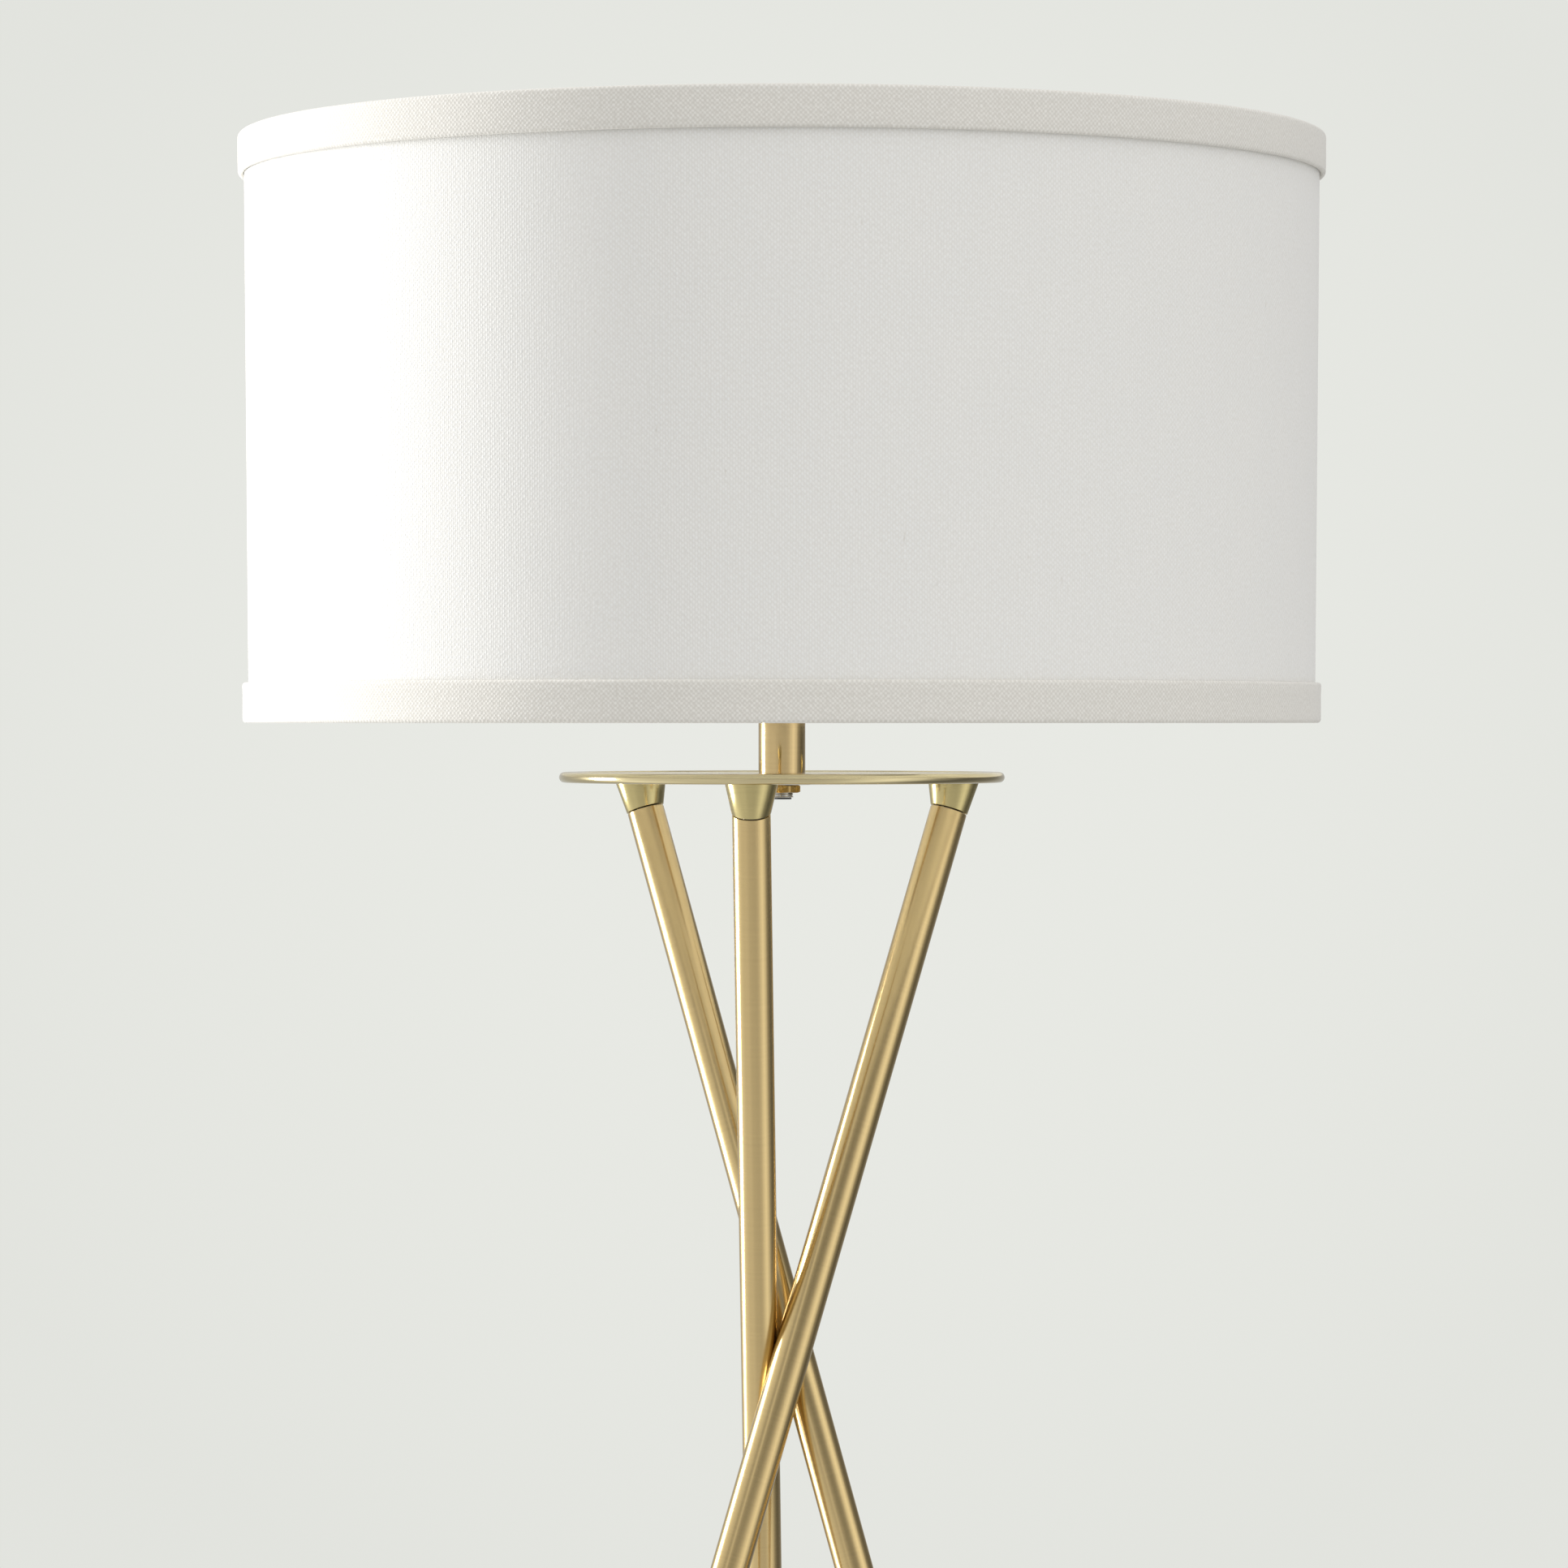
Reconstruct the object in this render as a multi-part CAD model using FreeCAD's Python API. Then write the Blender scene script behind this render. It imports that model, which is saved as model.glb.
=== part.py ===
"""Tripod floor lamp: three straight crossed legs, a round top plate, and a harp that carries a drum shade.

Millimetres, +Z up. The origin is on the floor, in the middle of the three feet and under the post's axis.
Leg 1 leaves the top plate on the -Y side, and legs 2 and 3 follow at 120 and 240 degrees, seen from above.
The harp stands in the XZ plane, and the switch knob points along -Y.
"""
import FreeCAD, Part
import math
import os

from FreeCAD import Placement, Rotation, Vector

# ---------------------------------------------------------------- driving dimensions
# Tripod
plate_underside_z = 1250.0  # height of the top plate's underside above the floor
plate_diameter = 190.0
plate_thickness = 4.4
plate_recess_depth = 0.5  # shallow pan in the plate's top face, inside a raised rim
plate_rim_width = 9.0
leg_diameter = 16.0
leg_wall = 1.2
leg_circle_radius = 80.8  # circle of the three leg axes, at the plate's underside
leg_splay_deg = 18.3  # each leg's angle from the vertical
leg_crossing_gap = 0.2  # clear space between two legs where they cross
leg_count = 3
joint_gap = 0.3  # dark line where two screwed pieces meet
ferrule_drop = 12.2  # from the plate's underside to the middle of the ferrule's lower face
ferrule_flare = 3.0  # how far the ferrule's top stands out past the leg, all round
ferrule_lip = 0.2  # the same at its lower face
ferrule_top_inset = 1.5  # the ferrule's top sits this much nearer the lamp's axis than the leg's axis
foot_lip = 1.0  # how far the rubber foot stands out past the leg
foot_height = 9.0  # from the floor to the middle of the leg tube's lower end
foot_plug_length = 16.0
stud_diameter = 8.0
stud_reach = 9.0  # how far a stud goes into a ferrule
insert_length = 16.0  # threaded plug pressed into a tube's end

# Post on the plate, and what holds it
post_diameter = 20.0
post_wall = 1.0
post_length = 45.0
nipple_diameter = 9.8
nipple_wall = 1.15
nipple_grip = 5.0  # thread that stands above the saddle, inside the lampholder's cap
nipple_tail = 2.0  # thread left showing under the nut
thread_pitch = 1.0
thread_depth = 0.5
hole_clearance = 0.2  # on the radius, round the nipple
nut_across_flats = 14.0
nut_height = 3.4
nut_turn_deg = 4.0  # where the nut came to rest
washer_diameter = 25.0
washer_thickness = 1.0
ring_height = 3.0  # seating rings at both ends of the post
ring_spigot = 4.0
bushing_flange = 0.8
bushing_wall = 0.65
bushing_length = 9.0
bushing_rim_inset = 0.3  # the flange stays this far inside the thread

# Lampholder and bulb
socket_cap_height = 19.0
socket_cap_lip = 5.0  # straight rim below the cap's dome
socket_collar_wall = 2.4  # threaded collar round the nipple
socket_collar_height = 7.0
socket_shell_radius = 16.2
socket_shell_height = 41.0  # above the cap's rim
socket_shell_overlap = 4.0  # how far the shell goes down into the cap
socket_bead_radius = 0.9
sheet_wall = 0.8
core_radius = 14.5
core_overlap = 2.0  # how far the core goes down into the cap
core_base_height = 13.0
core_rim_drop = 3.0  # below the shell's mouth
contact_radius = 4.0
contact_height = 1.2
terminal_radius = 3.0
terminal_seat_x = 11.5
terminal_head_height = 1.8
terminal_shank_length = 4.5
knob_radius = 5.5
knob_length = 14.0
knob_stand_off = 4.0  # from the shell to the grip
knob_shaft_radius = 2.0
knob_shaft_clearance = 0.08
knob_shaft_depth = 9.5  # inside the shell
knob_ribs = 14
knob_groove_radius = 0.7
bulb_radius = 30.0
bulb_length = 110.0  # contact tip to crown
bulb_flare_radius = 34.0  # hollow curve between the glass neck and the ball
bulb_cap_radius = 13.0
bulb_cap_length = 22.5
bulb_thread_pitch = 3.6
bulb_thread_turns = 5
bulb_fit = 0.2  # between the bulb's thread and the screw shell, on the radius
bulb_tip_height = 0.8
bulb_insulator_height = 2.4
screw_shell_wall = 0.4
glass_wall = 0.9

# Harp, with the saddle that holds it and the sleeves that lock it
harp_wire = 4.1
harp_foot_x = 28.0
harp_width = 114.0  # between the centres of its two sides
harp_crown_radius = 50.0
saddle_thickness = 1.5
saddle_width = 14.0
saddle_arm_width = 8.0
saddle_arm_rise = 9.0
saddle_arm_straight = 4.0
saddle_bend_inset = 9.0  # from the arm in to the bend in the saddle's floor
saddle_bend_radius = 3.0
pin_height = 8.0  # stub on each saddle arm, under the harp's foot
pin_root = 3.0  # how far the stub runs down the arm
harp_foot_rise = 36.0  # from a foot to its first bend
harp_flare_rise = 40.0  # from there to the full width
harp_foot_bend = 25.0
harp_side_bend = 40.0
sleeve_wall = 1.35
sleeve_length = 16.0
sleeve_clearance = 0.1
harp_collar_radius = 5.0
harp_collar_depth = 4.0  # below the centre of the wire
harp_collar_height = 4.5  # above it, up to the flange
harp_flange_radius = 7.5
harp_flange_height = 3.0
harp_stud_radius = 3.1
harp_stud_length = 13.5
finial_clearance = 0.08
finial_height = 24.0
finial_radius = 8.0
finial_foot_radius = 7.0
finial_foot_height = 2.0
finial_waist_radius = 4.8
finial_end_play = 1.0  # bore left above the stud

# Shade
shade_bottom_rise = 25.4  # from the plate's underside to the shade's lower edge
shade_height = 248.8
shade_bottom_radius = 226.5  # outside of the linen
shade_top_radius = 228.4
linen_thickness = 0.6
liner_thickness = 0.6
trim_width = 17.0
trim_proud = 2.6
trim_edge = 1.0  # cloth folded over the end of the shade
trim_inside = 11.0
trim_cover = 0.8  # cloth over the ring wire
trim_corner = 1.2  # roundness of the folded cloth's corners
ring_wire = 3.5
spider_drop = 12.0
spider_step = 16.0  # distance from the ring to each bend of a spoke
spider_bend_radius = 8.0
spider_washer_radius = 14.0
spider_washer_thickness = 2.0
spider_weld = 4.0  # how far a spoke reaches in over the washer
spider_hole_clearance = 0.08
spoke_count = 3
spoke_first_deg = 30.0
rest_gap = 0.1  # between pieces that sit on each other and move apart

# ---------------------------------------------------------------- derived values
origin = Vector(0, 0, 0)
up = Vector(0, 0, 1)
splay = math.radians(leg_splay_deg)
leg_radius = leg_diameter / 2
leg_bore_radius = leg_radius - leg_wall
plate_top_z = plate_underside_z + plate_thickness
seat_z = plate_top_z - plate_recess_depth  # the pan, which the post stands on
# Three lines set 120 degrees apart, each this far from the lamp's axis, pass each other at one leg's width.
crossing_offset = (leg_diameter + leg_crossing_gap) * math.sqrt(3 + 0.75 * math.tan(splay) ** 2) / 3
heading = math.asin(crossing_offset / leg_circle_radius)
leg_start = Vector(0, -leg_circle_radius, plate_underside_z)
leg_down = Vector(
    -math.sin(heading) * math.sin(splay), math.cos(heading) * math.sin(splay), -math.cos(splay)
)
leg_top_s = ferrule_drop / math.cos(splay)  # distances along the leg from leg_start
leg_end_s = (plate_underside_z - foot_height) / math.cos(splay)
leg_middle_s = (leg_top_s + leg_end_s) / 2

foot_radius = leg_radius + foot_lip

nipple_radius = nipple_diameter / 2
nipple_bore_radius = nipple_radius - nipple_wall
nipple_hole_radius = nipple_radius + hole_clearance
post_bore_radius = post_diameter / 2 - post_wall
post_top_z = seat_z + post_length
ring_top_z = post_top_z + ring_height
saddle_top_z = ring_top_z + saddle_thickness
nut_top_z = plate_underside_z - washer_thickness
nut_bottom_z = nut_top_z - nut_height
nipple_bottom_z = nut_bottom_z - nipple_tail
nipple_top_z = saddle_top_z + nipple_grip

cap_rim_z = saddle_top_z + socket_cap_height
socket_cap_radius = socket_shell_radius + sheet_wall
socket_top_z = cap_rim_z + socket_shell_height
core_bottom_z = cap_rim_z - core_overlap
core_floor_z = core_bottom_z + core_base_height
knob_z = core_bottom_z + core_base_height / 2
knob_hole_radius = knob_shaft_radius + 0.6
bulb_tip_z = core_floor_z + contact_height + rest_gap
bulb_top_z = bulb_tip_z + bulb_length
bulb_cap_bottom_z = bulb_tip_z + bulb_tip_height + bulb_insulator_height
bulb_cap_top_z = bulb_cap_bottom_z + bulb_cap_length
bulb_cap_core = bulb_cap_radius - 0.8  # under the thread's ribs
bulb_cap_bore = bulb_cap_core - 1.0
screw_shell_bore = bulb_cap_radius + bulb_fit

shade_bottom_z = plate_underside_z + shade_bottom_rise
shade_top_z = shade_bottom_z + shade_height
harp_wire_radius = harp_wire / 2
ring_wire_radius = ring_wire / 2


def shade_radius(z):
    """Outside radius of the linen at a height: the drum is a little wider at the top."""
    share = (z - shade_bottom_z) / shade_height
    return shade_bottom_radius + share * (shade_top_radius - shade_bottom_radius)


def ring_centre(z_edge, inwards):
    """Radius and height of a ring wire's centre. inwards is -1 at the top edge and +1 at the bottom edge."""
    z = z_edge + inwards * (trim_edge + ring_wire_radius)
    return shade_radius(z) - linen_thickness - liner_thickness - ring_wire_radius, z


top_ring_radius, top_ring_z = ring_centre(shade_top_z, -1)
bottom_ring_radius, bottom_ring_z = ring_centre(shade_bottom_z, 1)
spoke_z = top_ring_z - spider_drop
washer_bottom_z = spoke_z - ring_wire_radius
washer_top_z = washer_bottom_z + spider_washer_thickness
harp_seat_z = washer_bottom_z - rest_gap
harp_top_z = harp_seat_z - harp_flange_height - harp_collar_height  # centre of the wire, on the axis
saddle_arm_z = saddle_top_z + saddle_arm_rise
pin_top_z = saddle_arm_z + pin_height


# ---------------------------------------------------------------- helpers
def cylinder(radius, z0, z1):
    return Part.makeCylinder(radius, z1 - z0, Vector(0, 0, z0), up)


def tube(outer, inner, z0, z1):
    return cylinder(outer, z0, z1).cut(cylinder(inner, z0, z1))


def turned(edges):
    """A solid of revolution about Z, from edges in the XZ plane that close on themselves."""
    return Part.Face(Part.Wire(edges)).revolve(origin, up, 360)


def outline(points):
    """Straight edges through (x, z) points, closed."""
    corners = [Vector(x, 0, z) for x, z in points]
    return [Part.makeLine(a, b) for a, b in zip(corners, corners[1:] + corners[:1])]


def line(a, b):
    return Part.makeLine(Vector(a[0], 0, a[1]), Vector(b[0], 0, b[1]))


def arc(a, middle, b):
    return Part.Arc(*[Vector(x, 0, z) for x, z in (a, middle, b)]).toShape()


def rounded_path(points, radii):
    """A wire of straight runs joined by tangent arcs: radii has one value for each inner point."""
    edges = []
    last = points[0]
    for before, corner, after, radius in zip(points, points[1:], points[2:], radii):
        arriving = (corner - before).normalize()
        leaving = (after - corner).normalize()
        turn = arriving.getAngle(leaving)
        reach = radius * math.tan(turn / 2)
        start = corner - arriving * reach
        end = corner + leaving * reach
        bisector = (leaving - arriving).normalize()
        middle = corner + bisector * (radius / math.cos(turn / 2) - radius)
        edges.append(Part.makeLine(last, start))
        edges.append(Part.Arc(start, middle, end).toShape())
        last = end
    edges.append(Part.makeLine(last, points[-1]))
    return Part.Wire(edges)


def wire_form(path, radius):
    """A round wire that follows a path."""
    first = path.Edges[0]
    section = Part.Wire(Part.makeCircle(radius, first.valueAt(first.FirstParameter),
                                        first.tangentAt(first.FirstParameter)))
    return path.makePipeShell([section], True, False)


def around(shape, count, first_deg=0.0):
    """Copies of a shape, evenly spaced about Z."""
    copies = []
    for i in range(count):
        copy = shape.copy()
        copy.rotate(origin, up, first_deg + 360.0 * i / count)
        copies.append(copy)
    return copies


def on_leg(shape):
    """Moves a shape from leg 1's own frame, +Z up along the leg and zero at leg_start, into place."""
    moved = shape.copy()
    moved.Placement = Placement(leg_start, Rotation(up, leg_down * -1)).multiply(moved.Placement)
    return moved


def write(name, *shapes):
    """Writes one node: each shape is a separate closed solid."""
    solids = [s for shape in shapes for s in shape.Solids]
    for solid in solids:
        if not solid.isValid() or solid.Volume <= 0:
            raise ValueError(f"{name} has a bad solid")
    body = solids[0] if len(solids) == 1 else Part.makeCompound(solids)
    body.exportStep(os.path.join("parts", f"{name}.step"))


# ---------------------------------------------------------------- tripod
def top_plate():
    """Round plate with a full-radius edge, a raised rim and the nipple's hole."""
    half = plate_thickness / 2
    edge = plate_diameter / 2
    pan = edge - plate_rim_width
    profile = [
        line((nipple_hole_radius, plate_underside_z), (edge - half, plate_underside_z)),
        arc((edge - half, plate_underside_z), (edge, plate_underside_z + half), (edge - half, plate_top_z)),
        line((edge - half, plate_top_z), (pan, plate_top_z)),
        line((pan, plate_top_z), (pan - plate_recess_depth, seat_z)),
        line((pan - plate_recess_depth, seat_z), (nipple_hole_radius, seat_z)),
        line((nipple_hole_radius, seat_z), (nipple_hole_radius, plate_underside_z)),
    ]
    return turned(profile)


def ferrule():
    """Tapered collar: round and level under the plate, round and square to the leg below."""
    top = Part.Wire(Part.makeCircle(leg_radius + ferrule_flare, origin, up))
    top.Placement = Placement(leg_start + Vector(0, ferrule_top_inset, 0), Rotation())
    bottom = Part.Wire(Part.makeCircle(leg_radius + ferrule_lip, Vector(0, 0, -leg_top_s), up))
    collar = Part.makeLoft([top, on_leg(bottom)], True, True)
    hole = on_leg(cylinder(stud_diameter / 2, -leg_top_s - 1, -leg_top_s + stud_reach))
    return collar.cut(hole)


def leg_tube(s0, s1):
    return on_leg(tube(leg_radius, leg_bore_radius, -s1, -s0))


def leg_insert(s0):
    """Threaded plug inside a tube's end, from s0 downwards."""
    return on_leg(tube(leg_bore_radius, stud_diameter / 2, -s0 - insert_length, -s0))


def leg_stud(s0, s1):
    return on_leg(cylinder(stud_diameter / 2, -s1, -s0))


def foot():
    """Rubber foot: a plug in the tube and a head that the floor cuts level."""
    plug = cylinder(leg_bore_radius, -leg_end_s, -leg_end_s + foot_plug_length)
    head = cylinder(foot_radius, -leg_end_s - 2 * foot_height - foot_radius, -leg_end_s)
    whole = on_leg(plug.fuse(head).removeSplitter())
    reach = plate_underside_z  # wider than the feet stand
    below_floor = Part.makeBox(2 * reach, 2 * reach, reach, Vector(-reach, -reach, -reach))
    return whole.cut(below_floor)


def build_tripod():
    write("top_plate", top_plate())
    upper = (leg_top_s + joint_gap, leg_middle_s - joint_gap / 2)
    lower = (leg_middle_s + joint_gap / 2, leg_end_s)
    sets = {
        "ferrule": ferrule(),
        "leg_upper": leg_tube(*upper),
        "leg_lower": leg_tube(*lower),
        "foot": foot(),
    }
    for name, shape in sets.items():
        for number, copy in enumerate(around(shape, leg_count), 1):
            write(f"{name}_{number}", copy)
    inserts = [leg_insert(upper[0]), leg_insert(upper[1] - insert_length), leg_insert(lower[0])]
    studs = [
        leg_stud(leg_top_s - stud_reach, upper[0] + insert_length),
        leg_stud(upper[1] - insert_length, lower[0] + insert_length),
    ]
    write("leg_inserts", *[c for s in inserts for c in around(s, leg_count)])
    write("leg_studs", *[c for s in studs for c in around(s, leg_count)])


# ---------------------------------------------------------------- post and its fastening
def nipple():
    """Hollow threaded rod, with its thread cut as rings where it shows under the nut."""
    rod = tube(nipple_radius, nipple_bore_radius, nipple_bottom_z, nipple_top_z)
    for i in range(int(nipple_tail / thread_pitch)):
        z = nipple_bottom_z + (i + 0.5) * thread_pitch
        groove = turned(outline([
            (nipple_radius + 0.1, z - thread_pitch / 2),
            (nipple_radius + 0.1, z + thread_pitch / 2),
            (nipple_radius - thread_depth, z),
        ]))
        rod = rod.cut(groove)
    return rod


def hex_nut():
    """Hexagon nut whose corners are turned off at both faces."""
    corner = nut_across_flats / 2 / math.cos(math.pi / 6)
    turns = [math.radians(nut_turn_deg + 60 * k) for k in range(6)]
    points = [Vector(corner * math.cos(t), corner * math.sin(t), nut_bottom_z) for t in turns]
    prism = Part.Face(Part.makePolygon(points + points[:1])).extrude(Vector(0, 0, nut_height))
    chamfer = corner - nut_across_flats / 2
    turned_off = turned(outline([
        (0, nut_bottom_z),
        (nut_across_flats / 2, nut_bottom_z),
        (corner, nut_bottom_z + chamfer),
        (corner, nut_top_z - chamfer),
        (nut_across_flats / 2, nut_top_z),
        (0, nut_top_z),
    ]))
    return prism.common(turned_off).cut(cylinder(nipple_radius, nut_bottom_z, nut_top_z))


def seating_ring(face_z, spigot_z, head_z):
    """Ring that centres the post's tube on the nipple: a spigot inside it, and a head where it shows."""
    low_z = min(face_z, spigot_z)
    high_z = max(face_z, spigot_z)
    ring = cylinder(post_bore_radius, low_z, high_z)
    if head_z > face_z:
        ring = ring.fuse(cylinder(post_diameter / 2, face_z, head_z)).removeSplitter()
    return ring.cut(cylinder(nipple_hole_radius, low_z, max(high_z, head_z)))


def cable_bushing():
    """Plastic liner in the nipple's lower mouth, where the cord leaves."""
    bore = nipple_bore_radius - bushing_wall
    sleeve = cylinder(nipple_bore_radius, nipple_bottom_z, nipple_bottom_z + bushing_length - bushing_flange)
    rim = nipple_radius - thread_depth - bushing_rim_inset
    flange = cylinder(rim, nipple_bottom_z - bushing_flange, nipple_bottom_z)
    body = sleeve.fuse(flange).removeSplitter()
    return body.cut(cylinder(bore, nipple_bottom_z - bushing_flange - 1, nipple_bottom_z + bushing_length))


def build_post():
    write("post", tube(post_diameter / 2, post_bore_radius, seat_z, post_top_z))
    write("post_lower_ring", seating_ring(seat_z, seat_z + ring_spigot, seat_z))
    write("post_upper_ring", seating_ring(post_top_z, post_top_z - ring_spigot, ring_top_z))
    write("threaded_nipple", nipple())
    write("plate_washer", tube(washer_diameter / 2, nipple_hole_radius, nut_top_z, plate_underside_z))
    write("hex_nut", hex_nut())
    write("cable_bushing", cable_bushing())


# ---------------------------------------------------------------- lampholder
def socket_cap():
    """Domed cap with a threaded collar in its base."""
    outer = socket_cap_radius
    inner = outer - sheet_wall
    neck = nipple_radius + socket_collar_wall
    shoulder_z = cap_rim_z - socket_cap_lip
    dome = (shoulder_z - saddle_top_z) * 0.42  # height of the dome's middle point
    spread = neck + (outer - neck) * 0.6  # and its radius
    collar_top_z = saddle_top_z + socket_collar_height
    profile = [
        line((nipple_radius, saddle_top_z), (neck, saddle_top_z)),
        arc((neck, saddle_top_z), (spread, saddle_top_z + dome), (outer, shoulder_z)),
        line((outer, shoulder_z), (outer, cap_rim_z)),
        line((outer, cap_rim_z), (inner, cap_rim_z)),
        line((inner, cap_rim_z), (inner, shoulder_z)),
        arc((inner, shoulder_z), (spread - sheet_wall, saddle_top_z + dome + sheet_wall / 2),
            (neck, saddle_top_z + 1.5 * sheet_wall)),
        line((neck, saddle_top_z + 1.5 * sheet_wall), (neck, collar_top_z)),
        line((neck, collar_top_z), (nipple_radius, collar_top_z)),
        line((nipple_radius, collar_top_z), (nipple_radius, saddle_top_z)),
    ]
    return turned(profile)


def across_y(radius, y0, y1, z):
    """A cylinder along Y."""
    return Part.makeCylinder(radius, y1 - y0, Vector(0, y0, z), Vector(0, 1, 0))


def across_x(radius, x0, x1, z):
    """A cylinder along X."""
    return Part.makeCylinder(radius, x1 - x0, Vector(x0, 0, z), Vector(1, 0, 0))


def socket_shell():
    """Outer shell of the lampholder, with a rolled bead at its mouth and a hole for the knob's shaft."""
    inner = socket_shell_radius - sheet_wall
    wall = tube(socket_shell_radius, inner, cap_rim_z - socket_shell_overlap, socket_top_z)
    mouth = Vector(0, 0, socket_top_z)
    bead = Part.makeTorus((socket_shell_radius + inner) / 2, socket_bead_radius, mouth, up)
    return wall.fuse(bead).cut(across_y(knob_hole_radius, -2 * socket_shell_radius, 0, knob_z))


def insulating_sleeve():
    outer = socket_shell_radius - sheet_wall
    sleeve = tube(outer, core_radius, core_bottom_z, socket_top_z - core_rim_drop)
    return sleeve.cut(across_y(knob_hole_radius, -2 * socket_shell_radius, 0, knob_z))


def socket_core():
    """Moulded body: a solid base that holds the switch, and a thin cup round the screw shell."""
    body = cylinder(core_radius, core_bottom_z, socket_top_z - core_rim_drop)
    body = body.cut(cylinder(screw_shell_bore + screw_shell_wall, core_floor_z, socket_top_z))
    shaft_end = knob_shaft_depth - socket_shell_radius
    body = body.cut(across_y(knob_shaft_radius + knob_shaft_clearance, -2 * core_radius, shaft_end, knob_z))
    seat = across_x(terminal_radius + 0.3, terminal_seat_x, 2 * core_radius, knob_z)
    thread = across_x(terminal_radius / 2, terminal_seat_x - terminal_shank_length, terminal_seat_x, knob_z)
    return body.cut(around(seat, 2) + around(thread, 2))


def terminal_screw():
    """Slotted screw on the +X side of the core."""
    head_end = terminal_seat_x + terminal_head_height
    head = across_x(terminal_radius, terminal_seat_x, head_end, knob_z)
    shank = across_x(terminal_radius / 2, terminal_seat_x - terminal_shank_length, terminal_seat_x, knob_z)
    slot = Part.makeBox(
        terminal_head_height,
        4 * terminal_radius,
        terminal_radius / 4,
        Vector(head_end - terminal_head_height / 3, -2 * terminal_radius, knob_z - terminal_radius / 8),
    )
    return head.fuse(shank).removeSplitter().cut(slot)


def switch_knob():
    """Turn knob: a ribbed grip on a shaft that enters the lampholder from the -Y side."""
    grip_y = -socket_shell_radius - knob_stand_off
    grip = across_y(knob_radius, grip_y - knob_length, grip_y, knob_z)
    collar = across_y(knob_shaft_radius * 1.6, grip_y, -socket_shell_radius - 1.0, knob_z)
    shaft = across_y(knob_shaft_radius, grip_y, knob_shaft_depth - socket_shell_radius - rest_gap, knob_z)
    knob = grip.fuse([collar, shaft]).removeSplitter()
    for i in range(knob_ribs):
        angle = 2 * math.pi * i / knob_ribs
        groove = across_y(knob_groove_radius, grip_y - knob_length, grip_y - 2.0, knob_z)
        groove.translate(Vector(knob_radius * math.cos(angle), 0, knob_radius * math.sin(angle)))
        knob = knob.cut(groove)
    return knob


def build_lampholder():
    write("socket_cap", socket_cap())
    write("socket_shell", socket_shell())
    write("insulating_sleeve", insulating_sleeve())
    write("socket_core", socket_core())
    write("screw_shell", tube(screw_shell_bore + screw_shell_wall, screw_shell_bore,
                              core_floor_z, socket_top_z - core_rim_drop - 1.0))
    write("centre_contact", cylinder(contact_radius, core_floor_z, core_floor_z + contact_height))
    write("terminal_screws", *around(terminal_screw(), 2))
    write("switch_knob", switch_knob())


# ---------------------------------------------------------------- bulb
def bulb_section(inset):
    """Half outline of the glass: neck, a hollow curve, and a ball, each tangent to the next."""
    radius = bulb_radius - inset
    neck = bulb_cap_core - inset
    flare = bulb_flare_radius + inset
    centre_z = bulb_top_z - bulb_radius
    rise = math.sqrt((radius + flare) ** 2 - (neck + flare) ** 2)
    flare_z = centre_z - rise  # height where the hollow curve leaves the neck
    share = radius / (radius + flare)
    meet = ((neck + flare) * share, centre_z - rise * share)
    half_turn = math.atan2(rise, neck + flare) / 2
    hollow = (neck + flare - flare * math.cos(half_turn), flare_z + flare * math.sin(half_turn))
    halfway = (math.atan2(meet[1] - centre_z, meet[0]) + math.pi / 2) / 2
    ball = (radius * math.cos(halfway), centre_z + radius * math.sin(halfway))
    return [
        line((neck, bulb_cap_top_z), (neck, flare_z)),
        arc((neck, flare_z), hollow, meet),
        arc(meet, ball, (0, bulb_top_z - inset)),
    ]


def bulb_glass():
    edges = bulb_section(0) + bulb_section(glass_wall)
    edges.append(line((0, bulb_top_z), (0, bulb_top_z - glass_wall)))
    edges.append(line((bulb_cap_core - glass_wall, bulb_cap_top_z), (bulb_cap_core, bulb_cap_top_z)))
    return turned(Part.__sortEdges__(edges))


def bulb_cap():
    """Screw cap, with its rolled thread as round ribs."""
    cap = cylinder(bulb_cap_core, bulb_cap_bottom_z, bulb_cap_top_z)
    rib = bulb_thread_pitch / 3
    for i in range(bulb_thread_turns):
        z = bulb_cap_bottom_z + (i + 1) * bulb_thread_pitch
        cap = cap.fuse(Part.makeTorus(bulb_cap_radius - rib, rib, Vector(0, 0, z), up))
    return cap.cut(cylinder(bulb_cap_bore, bulb_cap_bottom_z, bulb_cap_top_z))


def bulb_insulator():
    """Dark glass cone between the cap and the tip."""
    seat_z = bulb_tip_z + bulb_tip_height
    return turned(outline([
        (0, seat_z),
        (contact_radius, seat_z),
        (bulb_cap_bore, bulb_cap_bottom_z),
        (bulb_cap_bore, bulb_cap_bottom_z + bulb_insulator_height),
        (0, bulb_cap_bottom_z + bulb_insulator_height),
    ]))


def build_bulb():
    write("bulb_glass", bulb_glass())
    write("bulb_cap", bulb_cap())
    write("bulb_insulator", bulb_insulator())
    write("bulb_tip", cylinder(contact_radius - 0.5, bulb_tip_z, bulb_tip_z + bulb_tip_height))


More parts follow.
